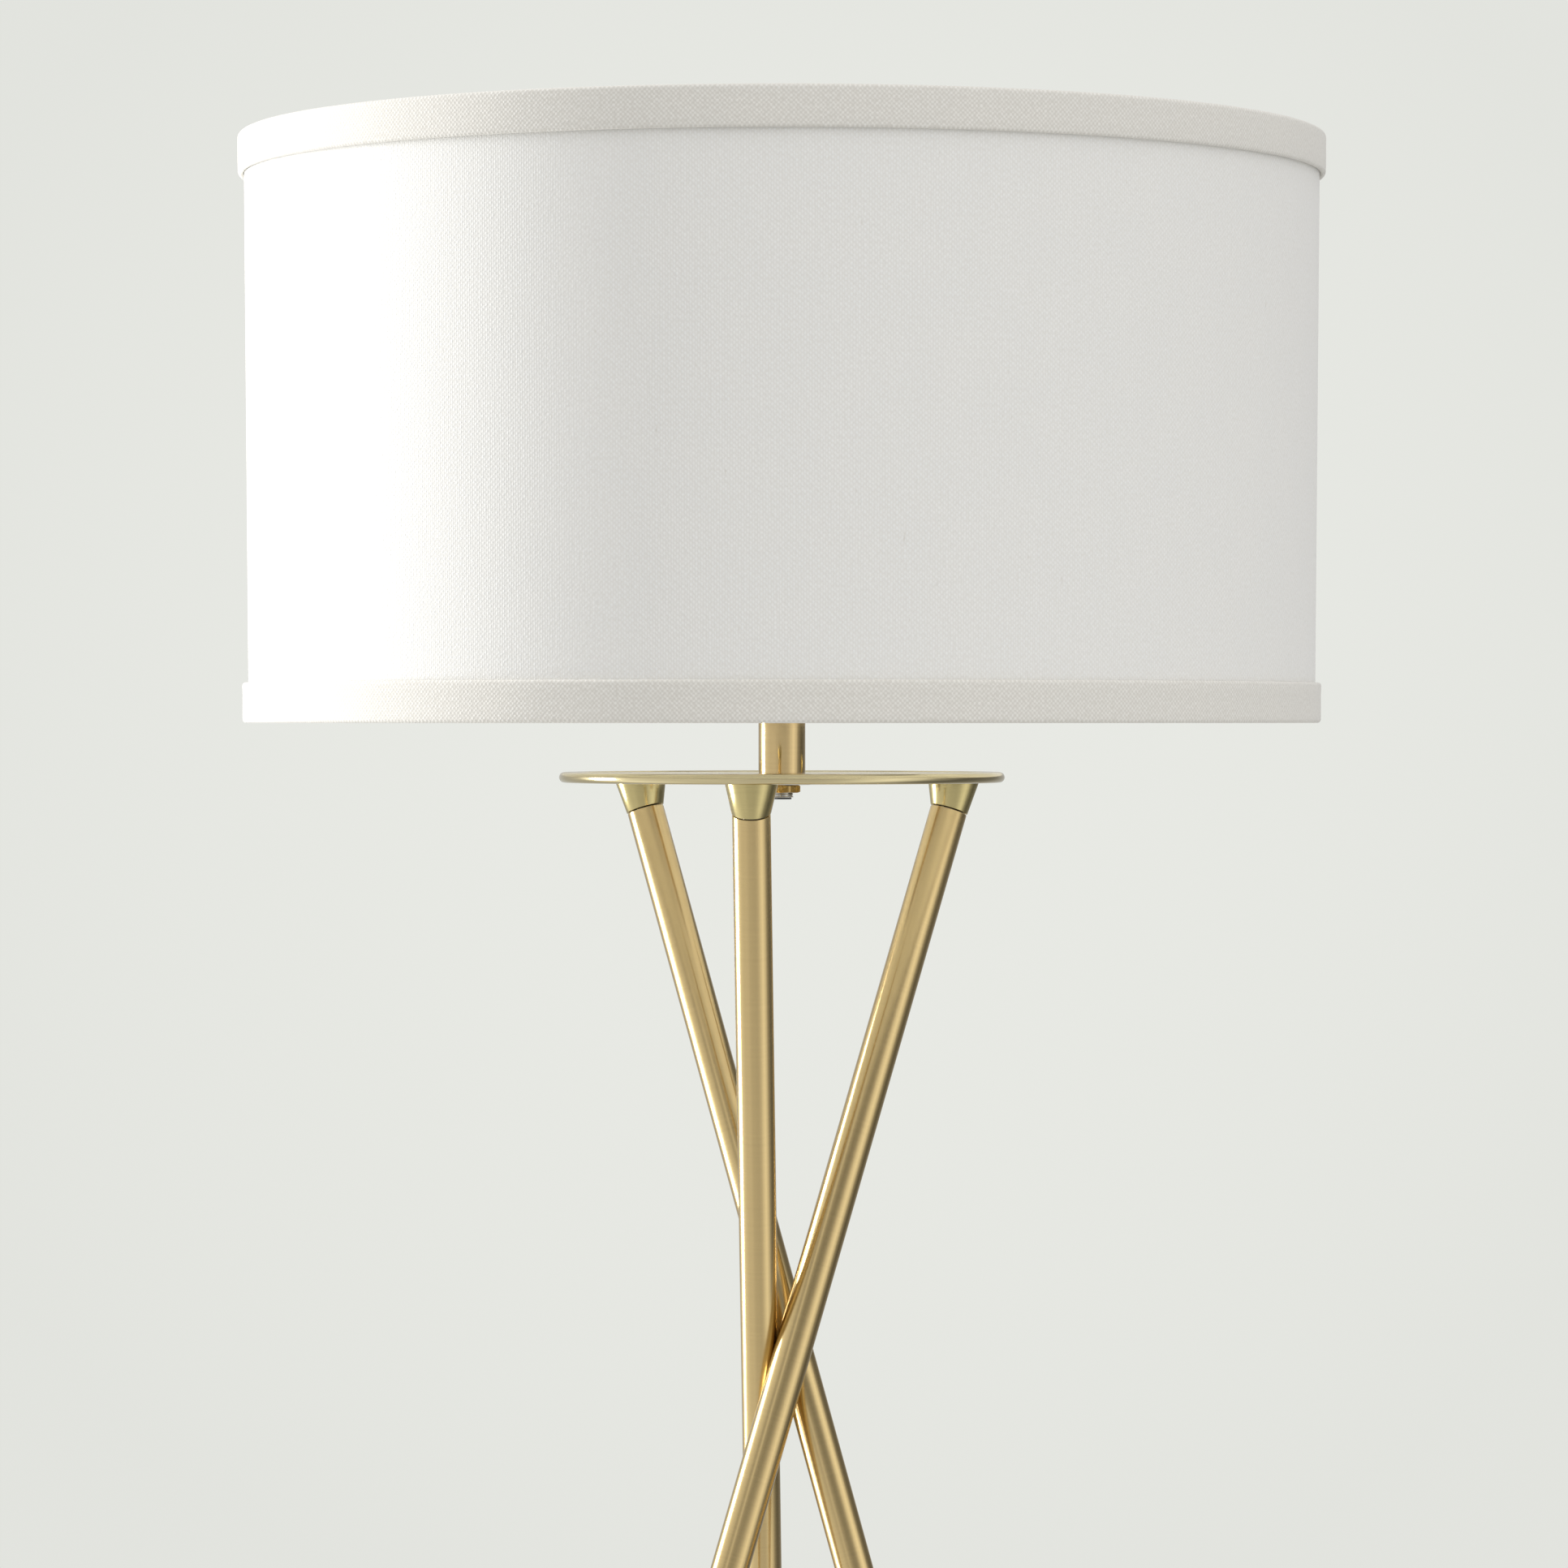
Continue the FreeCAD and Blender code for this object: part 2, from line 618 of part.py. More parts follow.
# ---------------------------------------------------------------- harp
def harp_saddle():
    """Strip bent into a shallow cradle, with a stub on each arm for the harp's foot and the sleeve."""
    half = saddle_thickness / 2
    floor_z = ring_top_z + half
    bend_x = harp_foot_x - saddle_bend_inset
    side = [
        Vector(harp_foot_x, 0, saddle_arm_z),
        Vector(harp_foot_x, 0, saddle_arm_z - saddle_arm_straight),
        Vector(bend_x, 0, floor_z),
    ]
    path = rounded_path(side + [Vector(-p.x, 0, p.z) for p in reversed(side)], [saddle_bend_radius] * 4)
    corners = [(-half, -1), (half, -1), (half, 1), (-half, 1), (-half, -1)]
    section = Part.makePolygon([
        Vector(harp_foot_x + x, y * saddle_width / 2, saddle_arm_z) for x, y in corners
    ])
    strip = path.makePipeShell([section], True, False)
    arm_bottom_z = saddle_arm_z - saddle_arm_straight
    beside_arm = Part.makeBox(
        2 * harp_foot_x, saddle_width, saddle_arm_rise,
        Vector(bend_x, saddle_arm_width / 2, arm_bottom_z),
    )
    other_face = beside_arm.mirror(origin, Vector(0, 1, 0))
    strip = strip.cut(around(beside_arm, 2) + around(other_face, 2))
    strip = strip.cut(cylinder(nipple_hole_radius, ring_top_z, saddle_top_z))
    stub = cylinder(harp_wire_radius, saddle_arm_z - pin_root, pin_top_z)
    stub.translate(Vector(harp_foot_x, 0, 0))
    return strip.fuse(around(stub, 2))


def harp_loop():
    """One bent wire: narrow at its feet, wide round the bulb, and closed by a round crown."""
    side = harp_width / 2
    flare_z = pin_top_z + harp_foot_rise
    left = [
        Vector(-harp_foot_x, 0, pin_top_z),
        Vector(-harp_foot_x, 0, flare_z),
        Vector(-side, 0, flare_z + harp_flare_rise),
        Vector(-side, 0, harp_top_z),
    ]
    right = [Vector(-p.x, 0, p.z) for p in reversed(left)]
    radii = [harp_foot_bend, harp_side_bend, harp_crown_radius]
    return wire_form(rounded_path(left + right, radii + radii[::-1]), harp_wire_radius)


def harp_stud(loop):
    """Crown piece crimped on the wire, with a flange for the shade and a stud for the finial."""
    flange_bottom_z = harp_seat_z - harp_flange_height
    collar = cylinder(harp_collar_radius, harp_top_z - harp_collar_depth, flange_bottom_z)
    flange = cylinder(harp_flange_radius, flange_bottom_z, harp_seat_z)
    stud = cylinder(harp_stud_radius, harp_seat_z, harp_seat_z + harp_stud_length)
    return collar.fuse([flange, stud]).removeSplitter().cut(loop)


def harp_sleeve():
    """Sleeve over a saddle stub and the harp's foot, on the +X side. Lifting it frees the harp."""
    bore = harp_wire_radius + sleeve_clearance
    bottom = saddle_arm_z + rest_gap
    sleeve = tube(bore + sleeve_wall, bore, bottom, bottom + sleeve_length)
    sleeve.translate(Vector(harp_foot_x, 0, 0))
    return sleeve


def finial():
    """Turned knob that holds the shade down: a foot, a waist and a ball."""
    base = washer_top_z + rest_gap
    foot_top = base + finial_foot_height
    ball_z = base + finial_height - finial_radius
    waist = finial_waist_radius
    waist_z = ball_z - math.sqrt(finial_radius ** 2 - waist ** 2)
    hollow = ((finial_foot_radius + waist) / 2 - 0.6, (foot_top + waist_z) / 2 - 0.6)
    bore = harp_stud_radius + finial_clearance
    bore_top = harp_seat_z + harp_stud_length + finial_end_play
    profile = [
        line((bore, base), (finial_foot_radius, base)),
        line((finial_foot_radius, base), (finial_foot_radius, foot_top)),
        arc((finial_foot_radius, foot_top), hollow, (waist, waist_z)),
        arc((waist, waist_z), (finial_radius, ball_z), (0, ball_z + finial_radius)),
        line((0, ball_z + finial_radius), (0, bore_top)),
        line((0, bore_top), (bore, bore_top)),
        line((bore, bore_top), (bore, base)),
    ]
    return turned(profile)


def build_harp():
    loop = harp_loop()
    write("harp_saddle", harp_saddle())
    write("harp_loop", loop)
    write("harp_stud", harp_stud(loop))
    for name, sleeve in zip(("harp_sleeve_right", "harp_sleeve_left"), around(harp_sleeve(), 2)):
        write(name, sleeve)
    write("finial", finial())


# ---------------------------------------------------------------- shade
def drum(inset, thickness):
    """One layer of the drum, from inset inside the linen's face."""
    z0 = shade_bottom_z + trim_edge
    z1 = shade_top_z - trim_edge
    return turned(outline([
        (shade_radius(z0) - inset, z0),
        (shade_radius(z1) - inset, z1),
        (shade_radius(z1) - inset - thickness, z1),
        (shade_radius(z0) - inset - thickness, z0),
    ]))


def ring(radius, z):
    return Part.makeTorus(radius, ring_wire_radius, Vector(0, 0, z), up)


def spoke(top_ring, washer):
    """Cranked wire from the top ring down and in to the washer, lying along +X and welded to both."""
    path = rounded_path([
        Vector(top_ring_radius, 0, top_ring_z),
        Vector(top_ring_radius - spider_step, 0, top_ring_z),
        Vector(top_ring_radius - 2 * spider_step, 0, spoke_z),
        Vector(spider_washer_radius - spider_weld, 0, spoke_z),
    ], [spider_bend_radius, spider_bend_radius])
    return wire_form(path, ring_wire_radius).cut([top_ring, washer])


def trim(z_edge, inwards, cut_by):
    """Cloth band folded over an edge of the drum: wide outside, and round the ring wire inside."""
    layers = linen_thickness + liner_thickness
    hem_z = z_edge + inwards * trim_width
    under_z = z_edge + inwards * trim_edge
    wire_z = under_z + inwards * ring_wire
    turn_z = z_edge + inwards * trim_inside
    face = shade_radius(z_edge)
    outer = face + trim_proud
    inner = face - layers - ring_wire - trim_cover
    soft = trim_corner
    bend = soft * (1 - math.sqrt(0.5))
    hem_outer = shade_radius(hem_z) + trim_proud
    soft_z = z_edge + inwards * soft
    bend_z = z_edge + inwards * bend
    profile = [
        line((shade_radius(hem_z), hem_z), (hem_outer - soft, hem_z)),
        arc((hem_outer - soft, hem_z), (hem_outer - bend, hem_z - inwards * bend),
            (hem_outer, hem_z - inwards * soft)),
        line((hem_outer, hem_z - inwards * soft), (outer, soft_z)),
        arc((outer, soft_z), (outer - bend, bend_z), (outer - soft, z_edge)),
        line((outer - soft, z_edge), (inner + soft, z_edge)),
        arc((inner + soft, z_edge), (inner + bend, bend_z), (inner, soft_z)),
        line((inner, soft_z), (inner, wire_z)),
        line((inner, wire_z), (shade_radius(turn_z) - layers - trim_cover, turn_z)),
        line((shade_radius(turn_z) - layers - trim_cover, turn_z), (shade_radius(turn_z) - layers, turn_z)),
        line((shade_radius(turn_z) - layers, turn_z), (shade_radius(under_z) - layers, under_z)),
        line((shade_radius(under_z) - layers, under_z), (shade_radius(under_z), under_z)),
        line((shade_radius(under_z), under_z), (shade_radius(hem_z), hem_z)),
    ]
    return turned(profile).cut(cut_by)


def build_shade():
    top_ring = ring(top_ring_radius, top_ring_z)
    bottom_ring = ring(bottom_ring_radius, bottom_ring_z)
    hole = harp_stud_radius + spider_hole_clearance
    washer = tube(spider_washer_radius, hole, washer_bottom_z, washer_top_z)
    spokes = around(spoke(top_ring, washer), spoke_count, spoke_first_deg)
    write("shade_linen", drum(0.0, linen_thickness))
    write("shade_liner", drum(linen_thickness, liner_thickness))
    write("top_ring", top_ring)
    write("bottom_ring", bottom_ring)
    write("spider_spokes", *spokes)
    write("spider_washer", washer)
    write("top_trim", trim(shade_top_z, -1, [top_ring] + spokes))
    write("bottom_trim", trim(shade_bottom_z, 1, [bottom_ring]))


os.makedirs("parts", exist_ok=True)
build_tripod()
build_post()
build_lampholder()
build_bulb()
build_harp()
build_shade()
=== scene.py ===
# %% [markdown]
# # A brass tripod floor lamp with a linen drum shade
# This lesson dresses a finished mechanical model. The model fixes every size and every joint, and it
# arrives as plain grey solids. Here the pieces that show are made again as clean meshes, with rounded
# edges, folds and threads, and each finish is built from nodes: brushed brass, woven linen, frosted glass.

# %% Load the frame
import math

import bmesh
import bpy
import numpy as np
from mathutils import Matrix, Vector, noise


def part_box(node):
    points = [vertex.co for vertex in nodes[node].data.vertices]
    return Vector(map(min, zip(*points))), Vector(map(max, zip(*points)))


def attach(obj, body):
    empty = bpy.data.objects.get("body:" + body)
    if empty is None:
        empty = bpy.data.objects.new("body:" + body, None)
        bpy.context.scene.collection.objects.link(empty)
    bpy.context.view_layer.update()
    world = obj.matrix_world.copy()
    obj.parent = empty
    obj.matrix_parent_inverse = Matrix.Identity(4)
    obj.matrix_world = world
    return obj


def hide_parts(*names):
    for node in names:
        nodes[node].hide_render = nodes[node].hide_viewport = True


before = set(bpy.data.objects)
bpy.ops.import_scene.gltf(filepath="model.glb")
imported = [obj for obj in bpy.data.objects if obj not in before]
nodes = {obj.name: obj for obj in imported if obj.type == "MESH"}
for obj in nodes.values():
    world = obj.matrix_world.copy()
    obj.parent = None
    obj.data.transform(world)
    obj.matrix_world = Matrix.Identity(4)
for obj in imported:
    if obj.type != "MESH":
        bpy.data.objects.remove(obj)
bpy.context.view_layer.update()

scene = bpy.context.scene
mm = 0.001


def span(node):
    """Radius, lowest and highest height of a round node that stands on the lamp's axis."""
    low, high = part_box(node)
    return (high.x - low.x) / 2, low.z, high.z


plate_radius, plate_bottom, plate_top = span("top_plate")

# %% [markdown]
# ## The camera
# A long lens stands level with the lower edge of the shade, so the legs' crossing and the shade keep
# their real proportions, and the round plate is seen edge on. The camera is made first, because every
# choice of detail depends on how large a piece looks from there.

# %% Camera
camera_turn = math.radians(9.1)  # round the lamp from its first leg
camera_distance = 2.623
camera_rise = 26.6 * mm  # above the plate's underside
camera_aside = 0.9 * mm  # to the right of the lamp's axis
camera_tilt = math.radians(-0.596)
camera_lens = 141.2

data = bpy.data.cameras.new("camera")
data.lens = camera_lens
camera = bpy.data.objects.new("camera", data)
scene.collection.objects.link(camera)
scene.camera = camera
turn = Matrix.Rotation(camera_turn, 4, "Z")
camera.location = turn @ Vector((camera_aside, -camera_distance, plate_bottom + camera_rise))
camera.rotation_euler = (math.pi / 2 + camera_tilt, 0, camera_turn)
print("camera at", [round(v, 3) for v in camera.location])

# %% [markdown]
# ## The room: a pale floor and soft light
# Metal shows nothing but what stands round it. In a plain white room brass tubes look like plastic, so
# the metal here sees broad bands: a bright stretch on the left, a dim one in front, a narrow bright one
# on the right and a dark gap beyond it, which draws the tubes' shadow edge. Two colour ramps over the
# compass direction hold the bands, one for what lies level or higher and one for what lies lower. Cloth
# and rubber take a soft light instead, stronger from above and from the front, and the eye sees a plain
# pale wall. A tall light on the left models the drum, and a weak one inside it stands for the daylight
# that soaks through linen.

# %% Room
wall_colour = (0.775, 0.785, 0.745)
fill_compass = math.radians(30)  # to the right of the camera's side
fill_even = 0.41
fill_lean = 0.41  # more from the fill's side, and less from behind
fill_above = 0.85
fill_least = 0.03
ceiling = (0.70, 0.70, 0.69, 1)
key_compass = math.radians(-105)
key_distance = 2.6
key_height = 1.45
key_aim = 1.35
key_watts = 112
soaked_watts = 0.4

# (compass degrees from the camera, brightness), negative to the left of the lamp as the camera sees it
high_bands = [
    (-180, 0.62), (-150, 0.50), (-130, 0.62), (-122, 1.30), (-96, 1.30), (-84, 1.00), (-68, 0.88),
    (-52, 0.74), (-38, 0.48), (-30, 0.55), (-22, 0.90), (-15, 0.50), (-6, 0.36), (8, 0.27), (24, 0.33),
    (36, 0.56), (48, 1.00), (66, 1.28), (82, 0.95), (96, 0.34), (112, 0.19), (140, 0.17), (160, 0.40),
    (180, 0.62),
]
low_bands = [
    (-180, 0.62), (-150, 0.50), (-130, 0.60), (-122, 1.20), (-98, 1.20), (-86, 0.95), (-60, 0.80),
    (-40, 0.80), (-18, 0.66), (18, 0.62), (32, 0.70), (46, 0.95), (60, 1.18), (76, 0.86), (90, 0.33),
    (112, 0.14), (140, 0.22), (160, 0.40), (180, 0.62),
]


def fill(tree, made, inputs):
    """Links each named input to a socket, or sets it to a value."""
    for key, value in inputs.items():
        if isinstance(value, bpy.types.NodeSocket):
            tree.links.new(value, made.inputs[key])
        else:
            made.inputs[key].default_value = value


def node(tree, kind, inputs=None, **settings):
    """Adds a shader node, sets its properties, and fills its inputs."""
    made = tree.nodes.new(kind)
    for key, value in settings.items():
        setattr(made, key, value)
    fill(tree, made, inputs or {})
    return made


def math_node(tree, operation, a, b=0.0, c=0.0):
    return node(tree, "ShaderNodeMath", {0: a, 1: b, 2: c}, operation=operation).outputs[0]


def ramp_range(tree, value, low, high, to_low=0.0, to_high=1.0):
    """Maps a value from one range to another, and stops at its ends."""
    return node(tree, "ShaderNodeMapRange", {"Value": value, "From Min": low, "From Max": high,
                                             "To Min": to_low, "To Max": to_high}).outputs[0]


def mix_colour(tree, share, a, b):
    return node(tree, "ShaderNodeMix", {0: share, 6: a, 7: b}, data_type="RGBA").outputs[2]


def bands(tree, share, stops):
    """A ramp whose brightness changes with the compass direction."""
    ramp = node(tree, "ShaderNodeValToRGB", {0: share})
    ramp.color_ramp.interpolation = "EASE"
    elements = ramp.color_ramp.elements
    warmth = 0.98  # a little less blue
    for place, (degrees, brightness) in enumerate(stops):
        at = (degrees + 180) / 360
        stop = elements[place] if place < 2 else elements.new(at)
        stop.position = at
        stop.color = (brightness, brightness, brightness * warmth, 1)
    return ramp.outputs[0]


world = bpy.data.worlds.new("room")
world.use_nodes = True
scene.world = world
tree = world.node_tree
tree.nodes.clear()
direction = node(tree, "ShaderNodeTexCoord").outputs["Generated"]
turned = node(tree, "ShaderNodeVectorRotate", {"Vector": direction, "Angle": -camera_turn},
              rotation_type="Z_AXIS").outputs[0]
parts = node(tree, "ShaderNodeSeparateXYZ", {0: turned})
rightwards, backwards, upwards = parts.outputs
compass = math_node(tree, "ARCTAN2", rightwards, math_node(tree, "MULTIPLY", backwards, -1))
share = math_node(tree, "MULTIPLY_ADD", compass, 1 / math.tau, 0.5)
rise = ramp_range(tree, upwards, -0.12, 0.24)
banded = mix_colour(tree, rise, bands(tree, share, low_bands), bands(tree, share, high_bands))
# Straight up and down the bands fade into an even ceiling and floor.
steep = ramp_range(tree, math_node(tree, "ABSOLUTE", upwards), 0.75, 0.97)
metal_sees = mix_colour(tree, steep, banded, ceiling)
fill_side = (math.sin(fill_compass), -math.cos(fill_compass), 0)
lean = node(tree, "ShaderNodeVectorMath", {0: turned, 1: fill_side}, operation="DOT_PRODUCT")
soft = math_node(tree, "MULTIPLY_ADD", lean.outputs["Value"], fill_lean, fill_even)
overhead = math_node(tree, "MAXIMUM", upwards, 0)
soft = math_node(tree, "MULTIPLY_ADD", overhead, fill_above, soft)
soft = math_node(tree, "MAXIMUM", soft, fill_least)
# The wall behind the lamp is a little lighter in the middle.
glow = ramp_range(tree, backwards, 0.988, 1.0, 0.985, 1.045)
wall = node(tree, "ShaderNodeVectorMath", {0: wall_colour, 3: glow}, operation="SCALE").outputs[0]
ray = node(tree, "ShaderNodeLightPath")
unseen = mix_colour(tree, ray.outputs["Is Glossy Ray"], soft, metal_sees)
chosen = mix_colour(tree, ray.outputs["Is Camera Ray"], unseen, wall)
background = node(tree, "ShaderNodeBackground", {"Color": chosen, "Strength": 1.0})
node(tree, "ShaderNodeOutputWorld", {"Surface": background.outputs[0]})

key = bpy.data.lights.new("key", "AREA")
key.shape = "RECTANGLE"
key.size, key.size_y = 0.7, 2.2
key.energy = key_watts
key_light = bpy.data.objects.new("key", key)
key_light.visible_camera = False
scene.collection.objects.link(key_light)
key_turn = key_compass + camera_turn
key_light.location = (math.sin(key_turn) * key_distance, -math.cos(key_turn) * key_distance, key_height)
towards = Vector((0, 0, key_aim)) - key_light.location
key_light.rotation_euler = towards.to_track_quat("-Z", "Y").to_euler()

shade_low, shade_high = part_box("shade_liner")
soaked = bpy.data.lights.new("soaked_through", "AREA")
soaked.shape = "DISK"
soaked.size = 0.84 * (shade_high.x - shade_low.x)
soaked.energy = soaked_watts
soaked_light = bpy.data.objects.new("soaked_through", soaked)
soaked_light.visible_camera = False
soaked_light.visible_glossy = False
soaked_light.location = (0, 0, shade_high.z - 45 * mm)
scene.collection.objects.link(soaked_light)

scene.view_settings.view_transform = "Standard"
scene.view_settings.look = "None"
print("bands of light:", len(high_bands), "high and", len(low_bands), "low")

# %% [markdown]
# ## Helpers for turned pieces
# Most of a lamp is turned on a lathe or drawn as tube, so one helper does most of the work: it takes
# half an outline and spins it round Z. Real turned metal has no razor edges, so the corners are then
# bevelled a fraction of a millimetre, which is what catches the light. The helper also lays down a UV
# map in metres, round and along the piece, so that brushing and weave keep their real scale.

# %% Helpers
def arc(centre_r, centre_z, radius, start, end, count=8):
    """Points on an arc, as (radius, height), angles in degrees with 0 outwards and 90 up."""
    angles = [math.radians(start + (end - start) * i / count) for i in range(count + 1)]
    return [(centre_r + radius * math.cos(a), centre_z + radius * math.sin(a)) for a in angles]


def widen(vert, factor):
    """Moves a point straight away from Z, or towards it."""
    vert.co.x *= factor
    vert.co.y *= factor


def lay_map(bm, reach):
    """UV map in metres: u runs round Z at the given radius, and v runs along the outline."""
    layer = bm.loops.layers.uv.new("turned")
    for face in bm.faces:
        middle = face.calc_center_median()
        base = math.atan2(middle.y, middle.x)
        for loop in face.loops:
            x, y, z = loop.vert.co
            radius = math.hypot(x, y)
            angle = math.atan2(y, x) - base if radius > 1e-7 else 0.0
            angle = (angle + math.pi) % math.tau - math.pi
            loop[layer].uv = ((base + angle) * reach, z - radius)


def ease_edges(bm, offset, sharper_than=30, segments=2):
    corners = [e for e in bm.edges
               if len(e.link_faces) == 2 and e.calc_face_angle(0) > math.radians(sharper_than)]
    bmesh.ops.bevel(bm, geom=corners, offset=offset, offset_type="OFFSET", segments=segments,
                    profile=0.5, affect="EDGES", clamp_overlap=True, material=-1)


def spun(outline, steps=96, closed=True, ease=0.2 * mm):
    """A bmesh turned about Z from half an outline of (radius, height) points."""
    bm = bmesh.new()
    verts = [bm.verts.new((r, 0, z)) for r, z in outline]
    pairs = list(zip(verts, verts[1:])) + ([(verts[-1], verts[0])] if closed else [])
    edges = [bm.edges.new(pair) for pair in pairs]
    bmesh.ops.spin(bm, geom=verts + edges, cent=(0, 0, 0), axis=(0, 0, 1), dvec=(0, 0, 0),
                   angle=math.tau, steps=steps, use_merge=True, use_duplicate=False)
    bmesh.ops.remove_doubles(bm, verts=bm.verts, dist=1e-6)
    bmesh.ops.recalc_face_normals(bm, faces=bm.faces)
    if ease:
        ease_edges(bm, ease)
    lay_map(bm, max(r for r, _ in outline))
    return bm


def to_object(bm, name, place=None, smooth_below=40):
    """Turns a bmesh into an object at the origin, with its place in its mesh."""
    if place is not None:
        bmesh.ops.transform(bm, matrix=place, verts=bm.verts)
    mesh = bpy.data.meshes.new(name)
    bm.to_mesh(mesh)
    bm.free()
    mesh.shade_smooth()
    mesh.set_sharp_from_angle(angle=math.radians(smooth_below))
    made = bpy.data.objects.new(name, mesh)
    scene.collection.objects.link(made)
    return made


def fit(piece, body, slot, material, *replaced):
    """Gives a finished piece its material, its body and the solids that it stands for, which it hides. The
    slot argument is not used.
    """
    piece.data.materials.clear()
    piece.data.materials.append(material)
    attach(piece, body)
    if replaced:
        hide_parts(*replaced)
    return piece


def dress(material, *names):
    """Puts a material on the frame's own solids."""
    for name in names:
        nodes[name].data.materials.clear()
        nodes[name].data.materials.append(material)


# %% [markdown]
# ## Brushed brass
# The tubes are polished on a belt, which leaves fine rings round them. The rings are far thinner than
# they are long, so noise is read with a stretched map: slow round the piece, fast along it. The same
# noise drives the roughness, a faint change of colour and a shallow bump. On the legs an anisotropic
# reflection then smears highlights along the tube and leaves them crisp across it, as brushing does.

# %% Brass
def start_material(name):
    material = bpy.data.materials.new(name)
    material.use_nodes = True
    tree = material.node_tree
    tree.nodes.clear()
    shader = node(tree, "ShaderNodeBsdfPrincipled")
    node(tree, "ShaderNodeOutputMaterial", {"Surface": shader.outputs[0]})
    return material, tree, shader


def scaled(tree, where, scale):
    """A texture position, stretched or squeezed along its axes."""
    return node(tree, "ShaderNodeMapping", {"Vector": where, "Scale": scale}).outputs[0]


def noise_node(tree, where, scale=1, detail=2, roughness=0.5):
    return node(tree, "ShaderNodeTexNoise", {"Vector": where, "Scale": scale, "Detail": detail,
                                             "Roughness": roughness}).outputs[0]


def bump_node(tree, height, strength, distance):
    return node(tree, "ShaderNodeBump", {"Height": height, "Strength": strength,
                                         "Distance": distance}).outputs[0]


def toned(colour, factor):
    return tuple(min(1, c * factor) for c in colour) + (1,)


def brushed_metal(name, colour, roughness=0.24, rings=4200, depth=0.035, stretch=40, anisotropy=0.75,
                  tone=0.035, mapped=True):
    """Metal with fine scratches round the piece. rings is how many noise cells fit in a metre along it."""
    material, tree, shader = start_material(name)
    if mapped:
        where = node(tree, "ShaderNodeUVMap", uv_map="turned").outputs[0]
        fine = scaled(tree, where, (stretch, rings, 1))
        broad = scaled(tree, where, (9, 900, 1))
    else:
        where = node(tree, "ShaderNodeTexCoord").outputs["Object"]
        fine = scaled(tree, where, (stretch, stretch, rings))
        broad = scaled(tree, where, (60, 60, 420))
    scratch = noise_node(tree, fine, detail=3, roughness=0.6)
    cloud = noise_node(tree, broad)
    both = node(tree, "ShaderNodeMix", {0: 0.3, 2: scratch, 3: cloud}).outputs[0]
    tint = ramp_range(tree, both, 0.35, 0.65)
    rough = ramp_range(tree, both, 0.3, 0.7, roughness - 0.03, roughness + 0.03)
    fill(tree, shader, {
        "Base Color": mix_colour(tree, tint, toned(colour, 1 - tone), toned(colour, 1 + tone)),
        "Roughness": rough, "Normal": bump_node(tree, scratch, depth, 0.05 * mm), "Metallic": 1.0})
    if mapped and anisotropy:
        tangent = node(tree, "ShaderNodeTangent", direction_type="UV_MAP", uv_map="turned").outputs[0]
        fill(tree, shader, {"Anisotropic": anisotropy, "Anisotropic Rotation": 0.25, "Tangent": tangent})
    return material


leg_brass = brushed_metal("leg_brass", (0.66, 0.50, 0.245))
ferrule_brass = brushed_metal("ferrule_brass", (0.57, 0.48, 0.23), roughness=0.22, depth=0.06,
                              anisotropy=0.3)
plate_brass = brushed_metal("plate_brass", (0.65, 0.56, 0.335), roughness=0.14, depth=0.05, anisotropy=0)
post_brass = brushed_metal("post_brass", (0.64, 0.48, 0.24), roughness=0.15, anisotropy=0)
harp_brass = brushed_metal("harp_brass", (0.68, 0.52, 0.26), roughness=0.20, depth=0.05, anisotropy=0.2)
harp_wire_brass = brushed_metal("harp_wire_brass", (0.68, 0.52, 0.26), roughness=0.20, depth=0.05,
                                mapped=False)
finial_brass = brushed_metal("finial_brass", (0.70, 0.54, 0.27), roughness=0.12, depth=0.02, anisotropy=0)
zinc = brushed_metal("zinc_steel", (0.56, 0.56, 0.54), roughness=0.30, mapped=False)
zinc_turned = brushed_metal("zinc_steel_turned", (0.60, 0.60, 0.58), roughness=0.28)
yellow_zinc = brushed_metal("yellow_zinc_steel", (0.52, 0.35, 0.13), roughness=0.18, rings=1800,
                            mapped=False)
print("metals made, from", leg_brass.name, "to", yellow_zinc.name)

# %% [markdown]
# ## The top plate
# The plate is one turned disc: a fully rounded edge, a raised rim, and a shallow pan that the post
# stands in. Seen edge on, the round edge is all that shows of it, so that gets the most segments.

# %% Top plate
rim_width = 9 * mm
pan_depth = 0.5 * mm
hole = 5.1 * mm  # round the threaded rod

half = (plate_top - plate_bottom) / 2
edge = plate_radius - half
pan_radius = plate_radius - rim_width
outline = [(hole, plate_bottom)] + arc(edge, plate_bottom + half, half, -90, 90, 12)
outline += [(pan_radius, plate_top), (pan_radius - pan_depth, plate_top - pan_depth),
            (hole, plate_top - pan_depth)]
plate = to_object(spun(outline, steps=192, ease=0.12 * mm), "plate")
fit(plate, "stand", "plate_brass", plate_brass, "top_plate")
plate.visible_glossy = False  # so the post shows the room down to its foot
print("plate faces:", len(plate.data.polygons))

# %% [markdown]
# ## The legs
# Each leg leans, so it can't be turned where it stands. It is turned upright about Z and then moved
# into place with a matrix. The direction comes from the frame's own tube: its points spread furthest
# along its axis, and a singular value decomposition finds that direction.

# %% Legs
tube_wall = 1.2 * mm
joint_gap = 0.55 * mm
ferrule_lip = 0.2 * mm
legs = range(1, 4)


def axis_of(name):
    """Middle, upward direction, length and radius of a straight tube of the frame."""
    found = np.unique(np.round([v.co for v in nodes[name].data.vertices], 7), axis=0)
    middle = found.mean(axis=0)
    along = np.linalg.svd(found - middle, full_matrices=False)[2][0]
    along = along if along[2] > 0 else -along
    reach = (found - middle) @ along
    radius = np.linalg.norm((found - middle) - np.outer(reach, along), axis=1).max()
    return Vector(middle), Vector(along), reach.max() - reach.min(), radius


